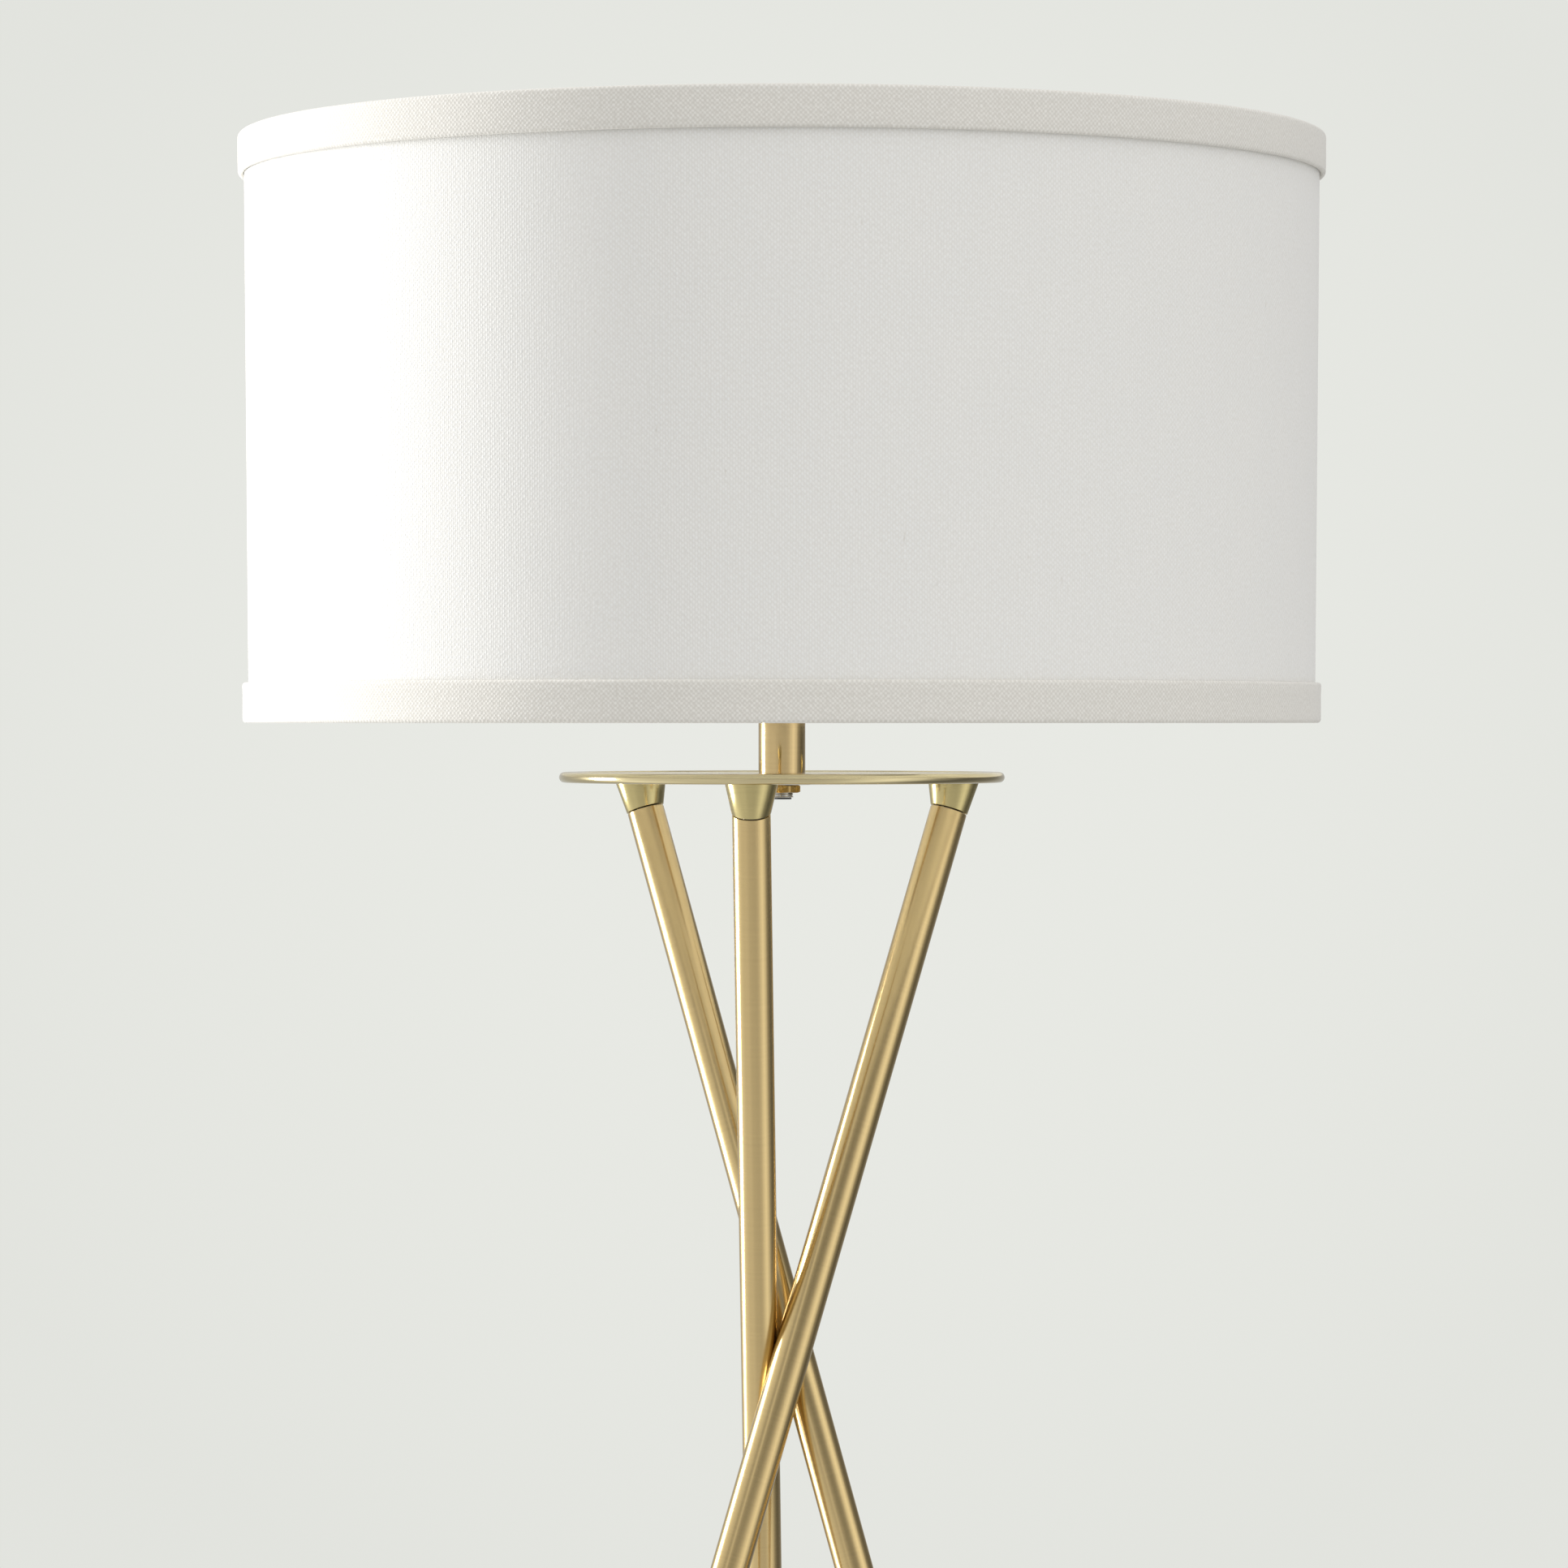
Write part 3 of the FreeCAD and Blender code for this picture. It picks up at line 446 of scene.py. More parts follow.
def stand_on(middle, along):
    """Matrix that takes Z to a leaning axis and the origin to its middle."""
    return Matrix.Translation(middle) @ Vector((0, 0, 1)).rotation_difference(along).to_matrix().to_4x4()


def tube_outline(radius, wall, low, high):
    return [(radius - wall, low), (radius, low), (radius, high), (radius - wall, high)]


for number in legs:
    for part in ("upper", "lower"):
        middle, along, length, radius = axis_of(f"leg_{part}_{number}")
        tube = spun(tube_outline(radius, tube_wall, -length / 2, length / 2), steps=72)
        piece = to_object(tube, f"{part}_leg_{number}", stand_on(middle, along))
        fit(piece, "stand", "leg_brass", leg_brass, f"leg_{part}_{number}")
print("a leg tube is", round(length, 3), "m long and", round(2 * radius, 4), "m thick")

# %% [markdown]
# ## The ferrules
# A ferrule is a collar that is level at the plate and square to the leg at its foot. Two circles are
# made, the lower one is tilted, and the loops are bridged, which gives exactly that skewed cone.

# %% Ferrules
def ferrule(number):
    middle, along, length, radius = axis_of(f"leg_upper_{number}")
    low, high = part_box(f"ferrule_{number}")
    bm = bmesh.new()
    wide = (high.x - low.x) / 2
    top = Matrix.Translation(((low.x + high.x) / 2, (low.y + high.y) / 2, high.z))
    foot = stand_on(middle + along * (length / 2 + joint_gap), along)
    upper = bmesh.ops.create_circle(bm, segments=72, radius=wide, cap_ends=True, matrix=top)["verts"]
    lower = bmesh.ops.create_circle(bm, segments=72, radius=radius + ferrule_lip, cap_ends=True,
                                    matrix=foot)["verts"]
    rims = [e for e in bm.edges if e.verts[0] in upper or e.verts[0] in lower]
    bmesh.ops.bridge_loops(bm, edges=rims)
    bmesh.ops.recalc_face_normals(bm, faces=bm.faces)
    ease_edges(bm, 0.25 * mm)
    centre = (top.translation + foot.translation) / 2
    bmesh.ops.translate(bm, vec=-centre, verts=bm.verts)
    lay_map(bm, wide)
    return to_object(bm, f"collar_{number}", Matrix.Translation(centre))


for number in legs:
    fit(ferrule(number), "stand", "ferrule_brass", ferrule_brass, f"ferrule_{number}")
print("ferrules made:", len(legs))

# %% [markdown]
# ## The rubber feet
# The foot is turned like the leg, with a softly rounded head, and then cut level where the floor is:
# `bisect_plane` slices it and the open edge is filled.

# %% Feet
def rubber(name, colour=(0.035, 0.035, 0.036)):
    """Dull moulded rubber with a little dust on it."""
    material, tree, shader = start_material(name)
    where = node(tree, "ShaderNodeTexCoord").outputs["Object"]
    grain = noise_node(tree, where, 1400, 3)
    dust = ramp_range(tree, noise_node(tree, where, 90, 4), 0.45, 0.75)
    pale = tuple(c + 0.05 for c in colour) + (1,)
    fill(tree, shader, {
        "Base Color": mix_colour(tree, dust, (*colour, 1), pale),
        "Roughness": ramp_range(tree, grain, 0, 1, 0.55, 0.8),
        "Normal": bump_node(tree, grain, 0.25, 0.1 * mm)})
    return material


foot_rubber = rubber("foot_rubber")
bushing_plastic = rubber("bushing_plastic", (0.045, 0.045, 0.047))
foot_lip = 1 * mm
plug_depth = 16 * mm
round_edge = 1.5 * mm
past_floor = 26 * mm  # far enough below the shoulder for the whole cut

for number in legs:
    middle, along, length, radius = axis_of(f"leg_lower_{number}")
    shoulder = -length / 2
    bore = radius - tube_wall
    wide = radius + foot_lip
    outline = [(0, shoulder + plug_depth), (bore, shoulder + plug_depth), (bore, shoulder)]
    outline += arc(wide - round_edge, shoulder - round_edge, round_edge, 90, 0, 5)
    outline += [(wide, shoulder - past_floor), (0, shoulder - past_floor)]
    bm = spun(outline, steps=64, closed=False)
    bmesh.ops.transform(bm, matrix=stand_on(middle, along), verts=bm.verts)
    bmesh.ops.bisect_plane(bm, geom=bm.verts[:] + bm.edges[:] + bm.faces[:], plane_co=(0, 0, 0),
                           plane_no=(0, 0, -1), clear_outer=True)
    bmesh.ops.holes_fill(bm, edges=[e for e in bm.edges if e.is_boundary])
    bmesh.ops.recalc_face_normals(bm, faces=bm.faces)
    fit(to_object(bm, f"rubber_foot_{number}"), "stand", "foot_rubber", foot_rubber, f"foot_{number}")
print("each foot is cut level with the floor")

# %% [markdown]
# ## The post, the threaded rod and the fastening under the plate
# The post is a plain tube that a hollow threaded rod pulls down on the plate, with a nut and a thin
# washer below. The rod's end shows under the nut, so its thread is a real helix: each ring of points
# is moved in or out by how far round the thread has turned at that height. The nut is turned as a disc
# and its rim is then pushed in to six flats, so its worn corners stay round and catch the light.

# %% Post and rod
thread_pitch = 1 * mm
thread_depth = 0.5 * mm
post_wall = 1 * mm


def cut_thread(bm, radius, low, high, pitch, depth, fade):
    """Moves the points on a cylinder's face in along a helix, between two heights."""
    for vert in bm.verts:
        x, y, z = vert.co
        if abs(math.hypot(x, y) - radius) > 1e-6 or not low < z < high:
            continue
        phase = (z / pitch - math.atan2(y, x) / math.tau) % 1
        groove = depth * (1 - abs(2 * phase - 1)) * min(1, (z - low) / fade, (high - z) / fade)
        widen(vert, (radius - groove) / radius)


def threaded_outline(radius, bore, low, high, step):
    """A tube's outline whose outer side has a point every step, for a thread to move."""
    count = max(1, round((high - low) / step))
    side = [(radius, low + (high - low) * i / count) for i in range(count + 1)]
    return [(bore, low)] + side + [(bore, high)]


post_radius, post_bottom, post_top = span("post")
tube = spun(tube_outline(post_radius, post_wall, post_bottom, post_top), steps=96, ease=0.3 * mm)
fit(to_object(tube, "post_tube"), "stand", "post_brass", post_brass, "post")

ring_radius, ring_bottom, ring_top = span("post_upper_ring")
post_bore = post_radius - post_wall
outline = [(hole, ring_bottom), (post_bore, ring_bottom), (post_bore, post_top), (ring_radius, post_top),
           (ring_radius, ring_top), (hole, ring_top)]
fit(to_object(spun(outline), "post_cap_ring"), "stand", "post_brass", post_brass, "post_upper_ring")

rod_radius, rod_bottom, rod_top = span("threaded_nipple")
rod_bore = 3.75 * mm
outline = threaded_outline(rod_radius, rod_bore, rod_bottom, rod_top, thread_pitch / 6)
bm = spun(outline, steps=72, ease=0)
cut_thread(bm, rod_radius, rod_bottom, rod_top, thread_pitch, thread_depth, thread_pitch / 2)
fit(to_object(bm, "threaded_rod", smooth_below=60), "stand", "zinc_steel", zinc_turned, "threaded_nipple")

washer_radius, washer_bottom, washer_top = span("plate_washer")
disc = spun(tube_outline(washer_radius, washer_radius - hole, washer_bottom, washer_top), ease=0.2 * mm)
fit(to_object(disc, "thin_washer"), "stand", "washer_steel", zinc_turned, "plate_washer")

bushing_rim, bushing_bottom, bushing_top = span("cable_bushing")
bushing_bore = 3.1 * mm
flange = 0.8 * mm
flange_end = bushing_bottom + flange
outline = [(bushing_bore, bushing_bottom), (bushing_rim, bushing_bottom), (bushing_rim, flange_end),
           (rod_bore, flange_end), (rod_bore, bushing_top), (bushing_bore, bushing_top)]
fit(to_object(spun(outline, ease=0.15 * mm), "cord_bushing"), "stand", "bushing_plastic", bushing_plastic,
    "cable_bushing")
dress(zinc, "leg_studs", "leg_inserts", "post_lower_ring")

nut_flat = 7 * mm  # from the axis to each flat
nut_turn = math.radians(4)
worn_corner = 0.22 * mm
chamfer_slope = 0.5
chamfer_least = 0.05 * mm
nut_low, nut_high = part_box("hex_nut")
nut_bottom, nut_top = nut_low.z, nut_high.z
nut_corner = nut_flat / math.cos(math.pi / 6)
outline = [(rod_radius, nut_bottom), (nut_flat, nut_bottom), (nut_corner, nut_bottom), (nut_corner, nut_top),
           (nut_flat, nut_top), (rod_radius, nut_top)]
bm = spun(outline, steps=120, ease=0)
for vert in bm.verts:
    x, y, z = vert.co
    if math.hypot(x, y) < nut_corner - 1e-6:
        continue
    off_flat = (math.atan2(y, x) % (math.pi / 3)) - math.pi / 6
    side = min(nut_flat / math.cos(off_flat), nut_corner - worn_corner)
    turned_off = (side - nut_flat) * chamfer_slope + chamfer_least
    widen(vert, side / nut_corner)
    vert.co.z += turned_off if z < (nut_bottom + nut_top) / 2 else -turned_off
nut = to_object(bm, "hexagon_nut", Matrix.Rotation(nut_turn, 4, "Z"), smooth_below=32)
fit(nut, "stand", "yellow_zinc_steel", yellow_zinc, "hex_nut")
print("rod thread turns:", round((rod_top - rod_bottom) / thread_pitch))

# %% [markdown]
# ## The lampholder
# The lampholder is a pressed brass cap and shell over a moulded core, with a board sleeve between
# them. The frame's solids already have their holes and beads, so they stay, and only get finishes.

# %% Lampholder
def plain_plastic(name, colour, roughness=0.4, grain_scale=900, mottle=0.93):
    """Moulded plastic or thin paint: a fine grain, and a faint cloudiness in colour and gloss."""
    material, tree, shader = start_material(name)
    where = node(tree, "ShaderNodeTexCoord").outputs["Object"]
    grain = noise_node(tree, where, grain_scale, 2)
    cloud = noise_node(tree, where, 60, 3)
    tint = ramp_range(tree, cloud, 0.35, 0.65)
    fill(tree, shader, {
        "Base Color": mix_colour(tree, tint, toned(colour, mottle), (*colour, 1)),
        "Roughness": ramp_range(tree, cloud, 0, 1, roughness - 0.06, roughness + 0.06),
        "Normal": bump_node(tree, grain, 0.12, 0.05 * mm)})
    return material


def fibre_board(name):
    """Pressed paper board: short fibres lying every way."""
    material, tree, shader = start_material(name)
    where = node(tree, "ShaderNodeTexCoord").outputs["Object"]
    fibre = node(tree, "ShaderNodeTexVoronoi", {"Vector": where, "Scale": 900}, feature="F2").outputs[0]
    both = math_node(tree, "MULTIPLY", fibre, noise_node(tree, where, 160, 4))
    fill(tree, shader, {
        "Base Color": mix_colour(tree, both, (0.30, 0.23, 0.14, 1), (0.47, 0.38, 0.25, 1)),
        "Normal": bump_node(tree, fibre, 0.3, 0.1 * mm), "Roughness": 0.85})
    return material


socket_brass = brushed_metal("socket_brass", (0.72, 0.55, 0.26), roughness=0.16, depth=0.03,
                             mapped=False)
contact_brass = brushed_metal("contact_brass", (0.68, 0.52, 0.27), roughness=0.30, mapped=False)
black_phenolic = plain_plastic("socket_phenolic", (0.030, 0.026, 0.024), 0.3)
dress(socket_brass, "socket_cap", "socket_shell")
dress(contact_brass, "screw_shell", "centre_contact", "terminal_screws")
dress(black_phenolic, "socket_core")
dress(fibre_board("insulating_board"), "insulating_sleeve")
print("lampholder pieces keep the frame's solids")

# %% [markdown]
# ## The switch knob
# The knob is turned about Z, given ribs, and then laid on its side. A wave round its side moves the
# points inwards between the ribs, so it grips like the real one and stays one closed mesh.

# %% Knob
knob_low, knob_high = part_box("switch_knob")
knob_radius = (knob_high.x - knob_low.x) / 2
knob_length = knob_high.y - knob_low.y
shaft_radius = 2 * mm
grip_length = 14 * mm
collar_length = 3 * mm
collar_radius = 1.6 * shaft_radius
crown = 1.2 * mm
grip_chamfer = 0.3 * mm
rib_depth = 0.45 * mm
ribs = 18
smooth_end = 0.6 * mm  # the grip's last stretch has no ribs

outline = [(0, knob_length), (shaft_radius, knob_length), (shaft_radius, grip_length + collar_length),
           (collar_radius, grip_length + collar_length), (collar_radius, grip_length),
           (knob_radius - grip_chamfer, grip_length), (knob_radius, grip_length - grip_chamfer),
           (knob_radius, crown)]
outline += arc(knob_radius - crown, crown, crown, 0, -90, 5)[1:] + [(0, 0)]
bm = spun(outline, steps=ribs * 6, closed=False, ease=0)
for vert in bm.verts:
    radius = math.hypot(vert.co.x, vert.co.y)
    if radius > knob_radius - crown and vert.co.z < grip_length - smooth_end:
        wave = 0.5 - 0.5 * math.cos(ribs * math.atan2(vert.co.y, vert.co.x))
        depth = rib_depth * wave ** 2 * min(1, (radius - knob_radius + crown) / crown)
        widen(vert, 1 - depth / radius)
knob_front = Matrix.Translation((0, knob_low.y, (knob_low.z + knob_high.z) / 2))
lay_down = knob_front @ Matrix.Rotation(-math.pi / 2, 4, "X")
knob = to_object(bm, "turn_knob", lay_down, smooth_below=50)
knob_plastic = plain_plastic("knob_plastic", (0.028, 0.028, 0.029), 0.35)
fit(knob, "switch", "knob_plastic", knob_plastic, "switch_knob")
print("knob runs from y =", round(knob_low.y, 4))

# %% [markdown]
# ## The bulb
# The glass is a ball that flows into a neck through a hollow curve, tangent at both ends, and its wall
# is real: the outline goes up the outside and back down the inside. Its white inner coat hides what is
# behind it, so the glass needs soft scattering and a clear gloss more than it needs transparency.
# The cap's thread is rolled, so it is a smooth wave and not a sharp groove.

# %% Bulb
def frosted_glass(name):
    material, tree, shader = start_material(name)
    where = node(tree, "ShaderNodeTexCoord").outputs["Object"]
    coat = noise_node(tree, where, 260, 3)
    fill(tree, shader, {
        "Base Color": mix_colour(tree, coat, (0.70, 0.70, 0.68, 1), (0.76, 0.76, 0.74, 1)),
        "Roughness": ramp_range(tree, coat, 0, 1, 0.30, 0.42), "Subsurface Weight": 0.35,
        "Subsurface Radius": (0.01, 0.01, 0.01), "Subsurface Scale": 0.3,
        "Coat Weight": 0.6, "Coat Roughness": 0.08})
    return material


glass_wall = 0.9 * mm
cap_radius, cap_bottom, cap_top = span("bulb_cap")
neck_radius = cap_radius - 0.8 * mm
ball_radius, _, ball_top = span("bulb_glass")
flare_radius = 34 * mm


def glass_outline(inset):
    """Up the neck, round the hollow curve and over the ball to the crown."""
    ball, neck, flare = ball_radius - inset, neck_radius - inset, flare_radius + inset
    centre_z = ball_top - ball_radius
    across = neck + flare
    rise = math.sqrt((ball + flare) ** 2 - across ** 2)
    lean = math.degrees(math.atan2(rise, across))
    hollow = arc(across, centre_z - rise, flare, 180, 180 - lean, 12)
    return [(neck, cap_top)] + hollow + arc(0, centre_z, ball, -lean, 90, 32)[1:]


outside, inside = glass_outline(0), glass_outline(glass_wall)
bm = spun(outside + inside[::-1] + [outside[0]], steps=96, closed=False, ease=0)
fit(to_object(bm, "bulb_envelope"), "bulb", "frosted_glass", frosted_glass("frosted_glass"), "bulb_glass")

thread_rise = 3.6 * mm
roll_depth = 1.3 * mm
fade_in = 1.5 * mm
fade_out = 4 * mm
cap_bore = neck_radius - 1 * mm
bm = spun(threaded_outline(cap_radius, cap_bore, cap_bottom, cap_top, (cap_top - cap_bottom) / 60), ease=0)
for vert in bm.verts:
    radius = math.hypot(vert.co.x, vert.co.y)
    if radius > cap_radius - 1e-6:
        phase = vert.co.z / thread_rise - math.atan2(vert.co.y, vert.co.x) / math.tau
        ends = min(1, (vert.co.z - cap_bottom) / fade_in, (cap_top - vert.co.z) / fade_out)
        crest = max(0, ends) * (0.5 + 0.5 * math.cos(math.tau * phase))
        widen(vert, (cap_radius - roll_depth * (1 - crest)) / radius)
cap_aluminium = brushed_metal("bulb_cap_aluminium", (0.72, 0.72, 0.72), roughness=0.28, depth=0.04,
                              anisotropy=0)
cap = to_object(bm, "bulb_screw_cap", smooth_below=60)
fit(cap, "bulb", "bulb_cap_aluminium", cap_aluminium, "bulb_cap")

dark_glass = plain_plastic("bulb_insulator_glass", (0.02, 0.014, 0.03), 0.12)
dress(dark_glass, "bulb_insulator")
tip_radius, tip_bottom, tip_top = span("bulb_tip")
outline = [(0, tip_top), (tip_radius, tip_top), (tip_radius, tip_bottom + 0.5 * mm),
           (tip_radius * 0.7, tip_bottom + 0.12 * mm), (0, tip_bottom)]
solder = brushed_metal("bulb_solder", (0.55, 0.55, 0.55), roughness=0.35, anisotropy=0)
fit(to_object(spun(outline, steps=48, closed=False, ease=0), "solder_tip"), "bulb", "bulb_solder", solder,
    "bulb_tip")
print("bulb from", round(tip_bottom, 4), "to", round(ball_top, 4))

# %% [markdown]
# ## The harp and its finial
# A harp is one bent brass wire. Its wire and saddle are right as they are in the frame. The locking
# sleeves, the crown piece and the finial are small turned pieces that a hand touches, so they are
# turned again here with rolled ends, a threaded stud and a softly waisted ball.

# %% Harp
dress(harp_wire_brass, "harp_loop", "harp_saddle")

wire_bore = 2.15 * mm
lip = 1.2 * mm
swell = 0.35 * mm
for side_name in ("left", "right"):
    low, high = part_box(f"harp_sleeve_{side_name}")
    outer = (high.x - low.x) / 2
    waist = outer - swell
    outline = [(wire_bore, low.z), (outer, low.z), (outer, low.z + lip), (waist, low.z + lip + swell),
               (waist, high.z - lip - swell), (outer, high.z - lip), (outer, high.z), (wire_bore, high.z)]
    bm = spun(outline, steps=64, ease=0.15 * mm)
    place = Matrix.Translation(((low.x + high.x) / 2, 0, 0))
    fit(to_object(bm, f"lock_sleeve_{side_name}", place), f"{side_name}_sleeve", "harp_brass", harp_brass,
        f"harp_sleeve_{side_name}")

flange_radius, stud_bottom, stud_top = span("harp_stud")
stud_radius = 3.1 * mm
stud_length = 13.5 * mm
flange_height = 3 * mm
flange_top = stud_top - stud_length
flange_low = flange_top - flange_height
crown_radius = 5 * mm
count = round(stud_length / (thread_pitch / 6))
screw = [(stud_radius, flange_top + stud_length * i / count) for i in range(count + 1)]
outline = [(0, stud_bottom), (crown_radius, stud_bottom), (crown_radius, flange_low),
           (flange_radius, flange_low), (flange_radius, flange_top)] + screw + [(0, stud_top)]
bm = spun(outline, steps=64, closed=False, ease=0)
cut_thread(bm, stud_radius, flange_top, stud_top, thread_pitch, 0.4 * mm, thread_pitch)
fit(to_object(bm, "crown_stud"), "stand", "harp_brass", harp_brass, "harp_stud")

finial_radius, finial_bottom, finial_top = span("finial")
ball_z = finial_top - finial_radius
thread_play = 0.08 * mm
waist = 4.8 * mm
foot_radius = 7 * mm
foot_height = 2 * mm
waist_angle = math.degrees(math.acos(waist / finial_radius))
waist_z = ball_z - math.sqrt(finial_radius ** 2 - waist ** 2)
bore = stud_radius + thread_play
bore_top = flange_top + stud_length + 1 * mm
outline = [(0, bore_top), (bore, bore_top), (bore, finial_bottom), (foot_radius - 0.4 * mm, finial_bottom)]
foot_roll = foot_height / 2
outline += arc(foot_radius - foot_roll, finial_bottom + foot_roll, foot_roll, -60, 80, 8)
hollow_z = finial_bottom + foot_height
outline += [(foot_radius - 1.6 * mm, hollow_z + 0.5 * mm), (waist + 0.1 * mm, (hollow_z + waist_z) / 2)]
outline += arc(0, ball_z, finial_radius, -waist_angle, 90, 28)
ball = to_object(spun(outline, closed=False, ease=0), "finial_ball")
fit(ball, "finial", "finial_brass", finial_brass, "finial")
print("finial is", round(2000 * finial_radius, 1), "mm wide")

# %% [markdown]
# ## The shade's frame and liner
# Two wire rings and a three-armed spider carry the shade. The rings are circles swept along a circle,
# which is one more spin. The liner is the stiff white styrene sheet that the linen is glued to: smooth,
# faintly glossy, and the part that shows from below.

# %% Shade frame
wire_white = plain_plastic("shade_wire", (0.80, 0.80, 0.78), 0.35, 700)
for name in ("top", "bottom"):
    reach, low, high = span(f"{name}_ring")
    thick = (high - low) / 2
    bm = spun(arc(reach - thick, low + thick, thick, 0, 360, 16)[:-1], steps=224, ease=0)
    ring = to_object(bm, f"{name}_wire_ring", smooth_below=180)
    fit(ring, "shade", "shade_wire", wire_white, f"{name}_ring")
dress(wire_white, "spider_spokes")
disc_radius, disc_bottom, disc_top = span("spider_washer")
disc_wall = disc_radius - stud_radius - thread_play
bm = spun(tube_outline(disc_radius, disc_wall, disc_bottom, disc_top), ease=0.3 * mm)
fit(to_object(bm, "spider_disc"), "shade", "shade_wire", wire_white, "spider_washer")

low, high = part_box("shade_linen")
shade_bottom, shade_top = low.z, high.z
top_radius = (high.x - low.x) / 2
bottom_radius = top_radius - 1.9 * mm
linen_thickness = 0.6 * mm
liner_thickness = 0.6 * mm
glue_line = 0.05 * mm


def shade_radius(z):
    """Outside radius of the linen: the drum opens a little towards the top."""
    share = (z - shade_bottom) / (shade_top - shade_bottom)
    return bottom_radius + share * (top_radius - bottom_radius)


def drum_outline(inset, thickness):
    return [(shade_radius(z) - inset - t, z) for z, t in
            ((shade_bottom, 0), (shade_top, 0), (shade_top, thickness), (shade_bottom, thickness))]


styrene = plain_plastic("shade_styrene", (0.80, 0.80, 0.78), 0.42, 500, mottle=0.98)
bm = spun(drum_outline(linen_thickness, liner_thickness), steps=224, ease=0)
fit(to_object(bm, "styrene_liner"), "shade", "shade_styrene", styrene, "shade_liner")
print("shade from", round(shade_bottom, 4), "to", round(shade_top, 4))

# %% [markdown]
# ## Linen
# The cloth is a plain weave of uneven threads, about a millimetre apart. The weave is worked out from
# the UV map in metres, as one sine wave across the warp and one across the weft. Their product gives
# slanting rows of bumps, and the warp's square gives upright ribs; `rib` sets the share of ribs. Noise
# makes the rows wander and each bump uneven, rare flecks are darker threads, and slow clouds go from a
# warm tone to a cool one. The same height gives both the bump and a painted shade: the gaps between
# threads are coloured darker and a little warmer, where the threads' shadow would fall.

# %% Linen material
def linen(name, colour, warp_pitch=1.07 * mm, weft_pitch=1.0 * mm, rib=0.35, contrast=0.90):
    material, tree, shader = start_material(name)
    cloth = node(tree, "ShaderNodeUVMap", uv_map="cloth").outputs[0]
    axes = node(tree, "ShaderNodeSeparateXYZ", {0: cloth})

    def stretched_noise(along, up, detail):
        return noise_node(tree, scaled(tree, cloth, (along, up, 1)), 1, detail)

    def waves(position, pitch, wander):
        """The sine of one set of threads, with its spacing made uneven."""
        turns = math_node(tree, "MULTIPLY", position, math.pi / pitch)
        shift = math_node(tree, "MULTIPLY", wander, 2.4)
        return math_node(tree, "SINE", math_node(tree, "ADD", turns, shift))

    warp = waves(axes.outputs[0], warp_pitch, stretched_noise(800, 45, 2))
    weft = waves(axes.outputs[1], weft_pitch, stretched_noise(45, 800, 2))
    rows = math_node(tree, "MULTIPLY_ADD", math_node(tree, "MULTIPLY", warp, weft), 0.5, 0.5)
    ribs = math_node(tree, "MULTIPLY", warp, warp)
    even = node(tree, "ShaderNodeMix", {0: rib, 2: rows, 3: ribs}).outputs[0]
    swell = ramp_range(tree, stretched_noise(700, 620, 1), 0.3, 0.7, 0.45, 1.25)
    height = math_node(tree, "MULTIPLY", even, swell)

    warmth = ramp_range(tree, noise_node(tree, cloth, 45, 2), 0.4, 0.62)
    cool = tuple(c * k for c, k in zip(colour, (0.985, 0.99, 0.995))) + (1,)
    yarn = mix_colour(tree, warmth, cool, (*colour, 1))
    # Painted shade: the gaps between threads get a darker, warmer colour, standing in for the weave's
    # shadow.
    gap_shade = tuple(c * contrast * k for c, k in zip(colour, (1.0, 0.99, 0.97))) + (1,)
    woven = mix_colour(tree, ramp_range(tree, height, 0.15, 0.85), gap_shade, yarn)
    fleck = ramp_range(tree, stretched_noise(520, 120, 1), 0.76, 0.83, 0.0, 0.3)
    fill(tree, shader, {
        "Base Color": mix_colour(tree, fleck, woven, (0.50, 0.45, 0.36, 1)),
        "Normal": bump_node(tree, height, 0.5, 0.22 * mm), "Roughness": 0.92, "Sheen Weight": 0.25,
        "Sheen Roughness": 0.5, "Specular IOR Level": 0.25})
    return material


body_linen = linen("shade_linen", (0.86, 0.855, 0.83))
band_linen = linen("trim_linen", (0.82, 0.80, 0.75), warp_pitch=0.95 * mm, weft_pitch=0.95 * mm,
                   rib=0.1, contrast=0.82)
print("two linens made")

# %% [markdown]
# ## The shade's skin
# The linen is one strip, wrapped once round the liner and lapped on itself at the back, where the
# double thickness shows as an upright seam. A standing line is spun a little more than a full turn, and
# the last stretch is lifted by one thickness of cloth so that it lies on the first. `Solidify` then
# gives the strip its thickness.

# %% Linen skin
seam_compass = math.radians(90) + camera_turn  # straight behind, as the camera sees it
lap = 9 * mm
lap_turn = lap / top_radius
full_turn = math.tau + lap_turn


def cloth_strip(path, steps, start):
    """Spins an open path of (radius, height) points a little past a full turn, with a map in metres."""
    bm = bmesh.new()
    row_of = bm.verts.layers.float.new("row")
    turn_of = bm.verts.layers.float.new("turn")
    verts = [bm.verts.new((r * math.cos(start), r * math.sin(start), z)) for r, z in path]
    edges = [bm.edges.new(pair) for pair in zip(verts, verts[1:])]
    lengths = [0.0]
    for (r0, z0), (r1, z1) in zip(path, path[1:]):
        lengths.append(lengths[-1] + math.hypot(r1 - r0, z1 - z0))
    bmesh.ops.spin(bm, geom=verts + edges, cent=(0, 0, 0), axis=(0, 0, 1), dvec=(0, 0, 0),
                   angle=full_turn, steps=steps, use_merge=False, use_duplicate=False)
    bm.verts.ensure_lookup_table()
    rows = len(path)
    for place, vert in enumerate(bm.verts):
        vert[turn_of] = full_turn * (place // rows) / steps
        vert[row_of] = lengths[place % rows]
    layer = bm.loops.layers.uv.new("cloth")
    for face in bm.faces:
        for loop in face.loops:
            loop[layer].uv = (loop.vert[turn_of] * top_radius, loop.vert[row_of])
    return bm, turn_of, lengths[-1]


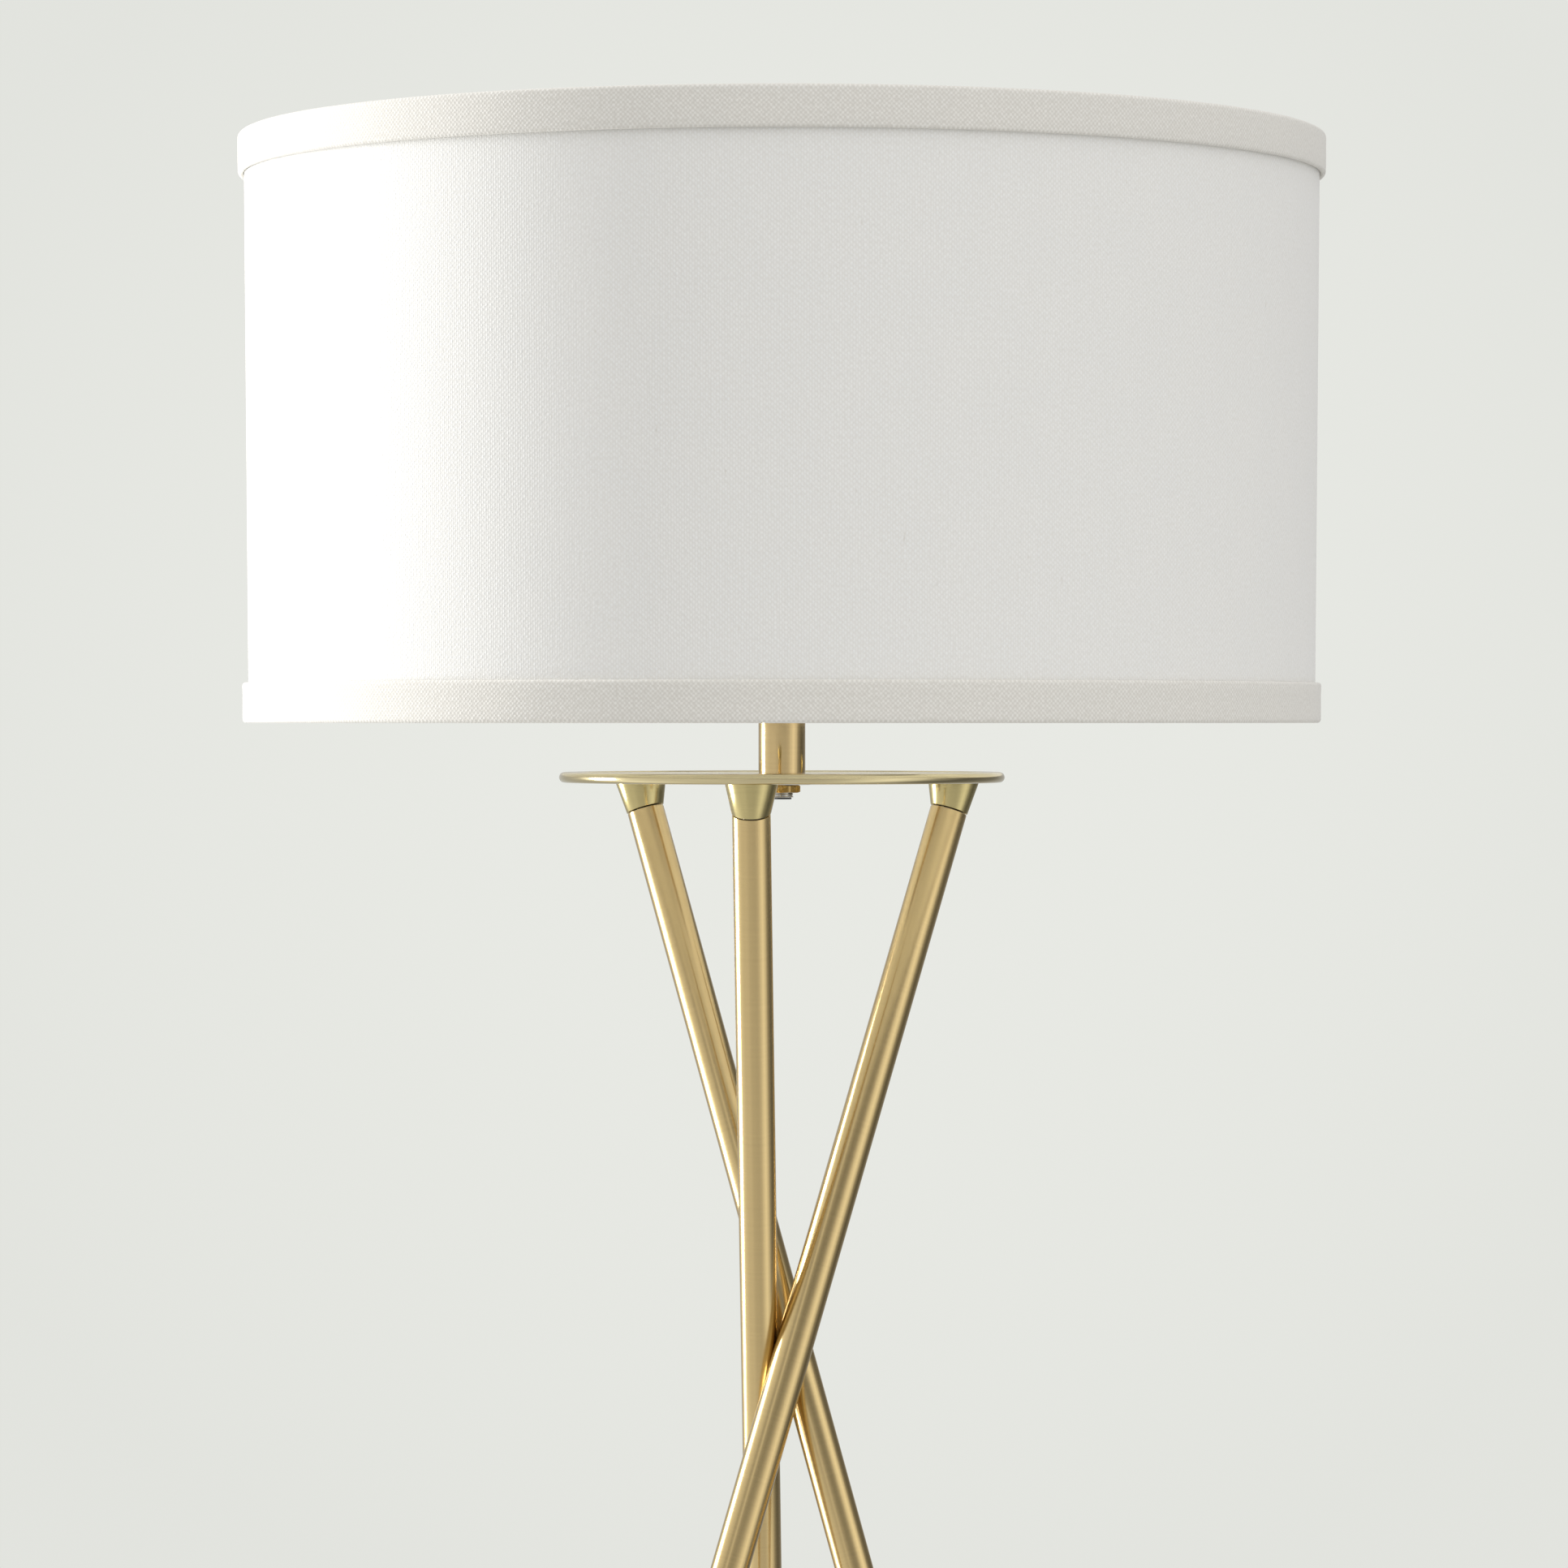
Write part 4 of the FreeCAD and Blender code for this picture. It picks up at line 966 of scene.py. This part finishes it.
def face_out(bm):
    """Turns all faces of an open strip so that they look away from the axis."""
    bm.faces.ensure_lookup_table()
    middle = max(bm.faces, key=lambda f: f.calc_center_median().xy.length)
    centre = middle.calc_center_median()
    if middle.normal.dot(Vector((centre.x, centre.y, 0))) < 0:
        bmesh.ops.reverse_faces(bm, faces=bm.faces)


def lift_lap(bm, turn_of, height, ramp_turn):
    """Raises the end of the strip off its own beginning, with a short slope before the lap."""
    bm.normal_update()
    face_out(bm)
    bm.normal_update()
    for vert in bm.verts:
        over = (vert[turn_of] - (math.tau - ramp_turn)) / ramp_turn
        vert.co += vert.normal * height * min(1, max(0, over))


def wander(bm, amount, size, seed):
    """Moves points in and out by smooth noise, as cloth never lies perfectly."""
    for vert in bm.verts:
        compass = math.atan2(vert.co.y, vert.co.x)
        at = Vector((math.cos(compass), math.sin(compass), 0)) * top_radius / size
        radius = math.hypot(vert.co.x, vert.co.y)
        out = amount * noise.noise(at + Vector((0, 0, seed + vert.co.z / size)))
        widen(vert, 1 + out / radius)


def give_thickness(piece, thickness, offset):
    solid = piece.modifiers.new("thickness", "SOLIDIFY")
    solid.thickness = thickness
    solid.offset = offset
    solid.use_even_offset = True


levels = 24
rising = [(shade_radius(z), z) for z in
          (shade_bottom + (shade_top - shade_bottom) * i / levels for i in range(levels + 1))]
bm, turn_of, skin_height = cloth_strip(rising, 260, seam_compass)
lift_lap(bm, turn_of, linen_thickness + glue_line, lap_turn)
skin = to_object(bm, "linen_skin", smooth_below=60)
give_thickness(skin, linen_thickness - glue_line, -1)
fit(skin, "shade", "shade_linen", body_linen, "shade_linen")

# %% [markdown]
# ## The folded trims
# Each end of the drum is bound with a strip of a coarser linen, whose weave shows as slanting rows. Its
# outer hem is folded under, and that roll is what catches the thin line of light on the body. The
# strip's path is drawn once, from the hidden fold, round the hem, over the edge and the ring wire, and
# down inside. It is then spun like the skin, and its line wanders a little, as hand work does.

# %% Trims
trim_width = 17 * mm
trim_proud = 2.6 * mm
trim_inside = 11 * mm
trim_edge = 1 * mm
hidden_hem = 8 * mm
bend = 1.1 * mm  # radius of the turns over the edge
cloth = 1.0 * mm  # two layers of linen and glue
cover = 0.8 * mm
ring_wire = 3.5 * mm
layers = linen_thickness + liner_thickness


def trim_path(edge_z, inwards):
    """Middle line of the folded strip. inwards is -1 at the top edge and +1 at the bottom edge."""
    hem_z = edge_z + inwards * trim_width
    under = shade_radius(hem_z) + cloth / 2
    outside = shade_radius(edge_z) + trim_proud - cloth / 2
    inner = shade_radius(edge_z) - layers - ring_wire - cover + cloth / 2
    roll = (trim_proud - cloth) / 2
    bend_z = hem_z - inwards * (roll + cloth / 2)
    first = [(under, hem_z - inwards * hidden_hem), (under, bend_z)]
    fold = [(under + roll - roll * math.cos(a), bend_z + inwards * roll * math.sin(a))
            for a in (math.pi * i / 8 for i in range(1, 9))]
    rise = [(outside, bend_z + (edge_z - bend_z) * share) for share in (0.25, 0.5, 0.75)]
    lip_z = edge_z + inwards * cloth / 2
    quarter = [math.pi / 2 * i / 6 for i in range(7)]
    over = [(outside - bend + bend * math.cos(a), lip_z + inwards * (bend - bend * math.sin(a)))
            for a in quarter]
    back = [(inner + bend - bend * math.sin(a), lip_z + inwards * (bend - bend * math.cos(a)))
            for a in quarter]
    wire_z = edge_z + inwards * (trim_edge + ring_wire)
    last_z = edge_z + inwards * trim_inside
    glued = shade_radius(last_z) - layers - cloth / 2
    last = [(inner, wire_z - inwards * 1 * mm), (inner + 0.8 * mm, wire_z + inwards * 1 * mm),
            (glued, last_z - inwards * 2.5 * mm), (glued, last_z)]
    return first + fold + rise + over + back + last


trim_steps = 300
for name, inwards, seed in (("top", -1, 3.0), ("bottom", 1, 11.0)):
    low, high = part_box(f"{name}_trim")
    edge_z = high.z if inwards < 0 else low.z
    bm, turn_of, strip_width = cloth_strip(trim_path(edge_z, inwards), trim_steps, seam_compass)
    lift_lap(bm, turn_of, cloth * 0.6, lap_turn)
    wander(bm, 0.12 * mm, 22 * mm, seed)
    band = to_object(bm, f"{name}_band", smooth_below=180)
    give_thickness(band, cloth, 0)
    fit(band, "shade", "trim_linen", band_linen, f"{name}_trim")

# %% [markdown]
# ## The floor
# The lamp stands on a round, plain, pale floor, 1.5 m in radius. It lies below the main camera's view,
# and beyond it the room's even wall goes on.

# %% Floor
floor_reach = 1.5
bm = bmesh.new()
bmesh.ops.create_circle(bm, segments=128, radius=floor_reach, cap_ends=True)
floor = to_object(bm, "floor")
floor_paint, tree, shader = start_material("floor_paint")
where = node(tree, "ShaderNodeTexCoord").outputs["Object"]
paint = mix_colour(tree, noise_node(tree, where, 5, 4), (0.56, 0.56, 0.54, 1), (0.60, 0.60, 0.58, 1))
fill(tree, shader, {"Base Color": paint, "Roughness": 0.7})
floor.data.materials.append(floor_paint)
floor.visible_glossy = False  # the metal sees the room's low bands instead
print("floor radius:", floor_reach, "m")
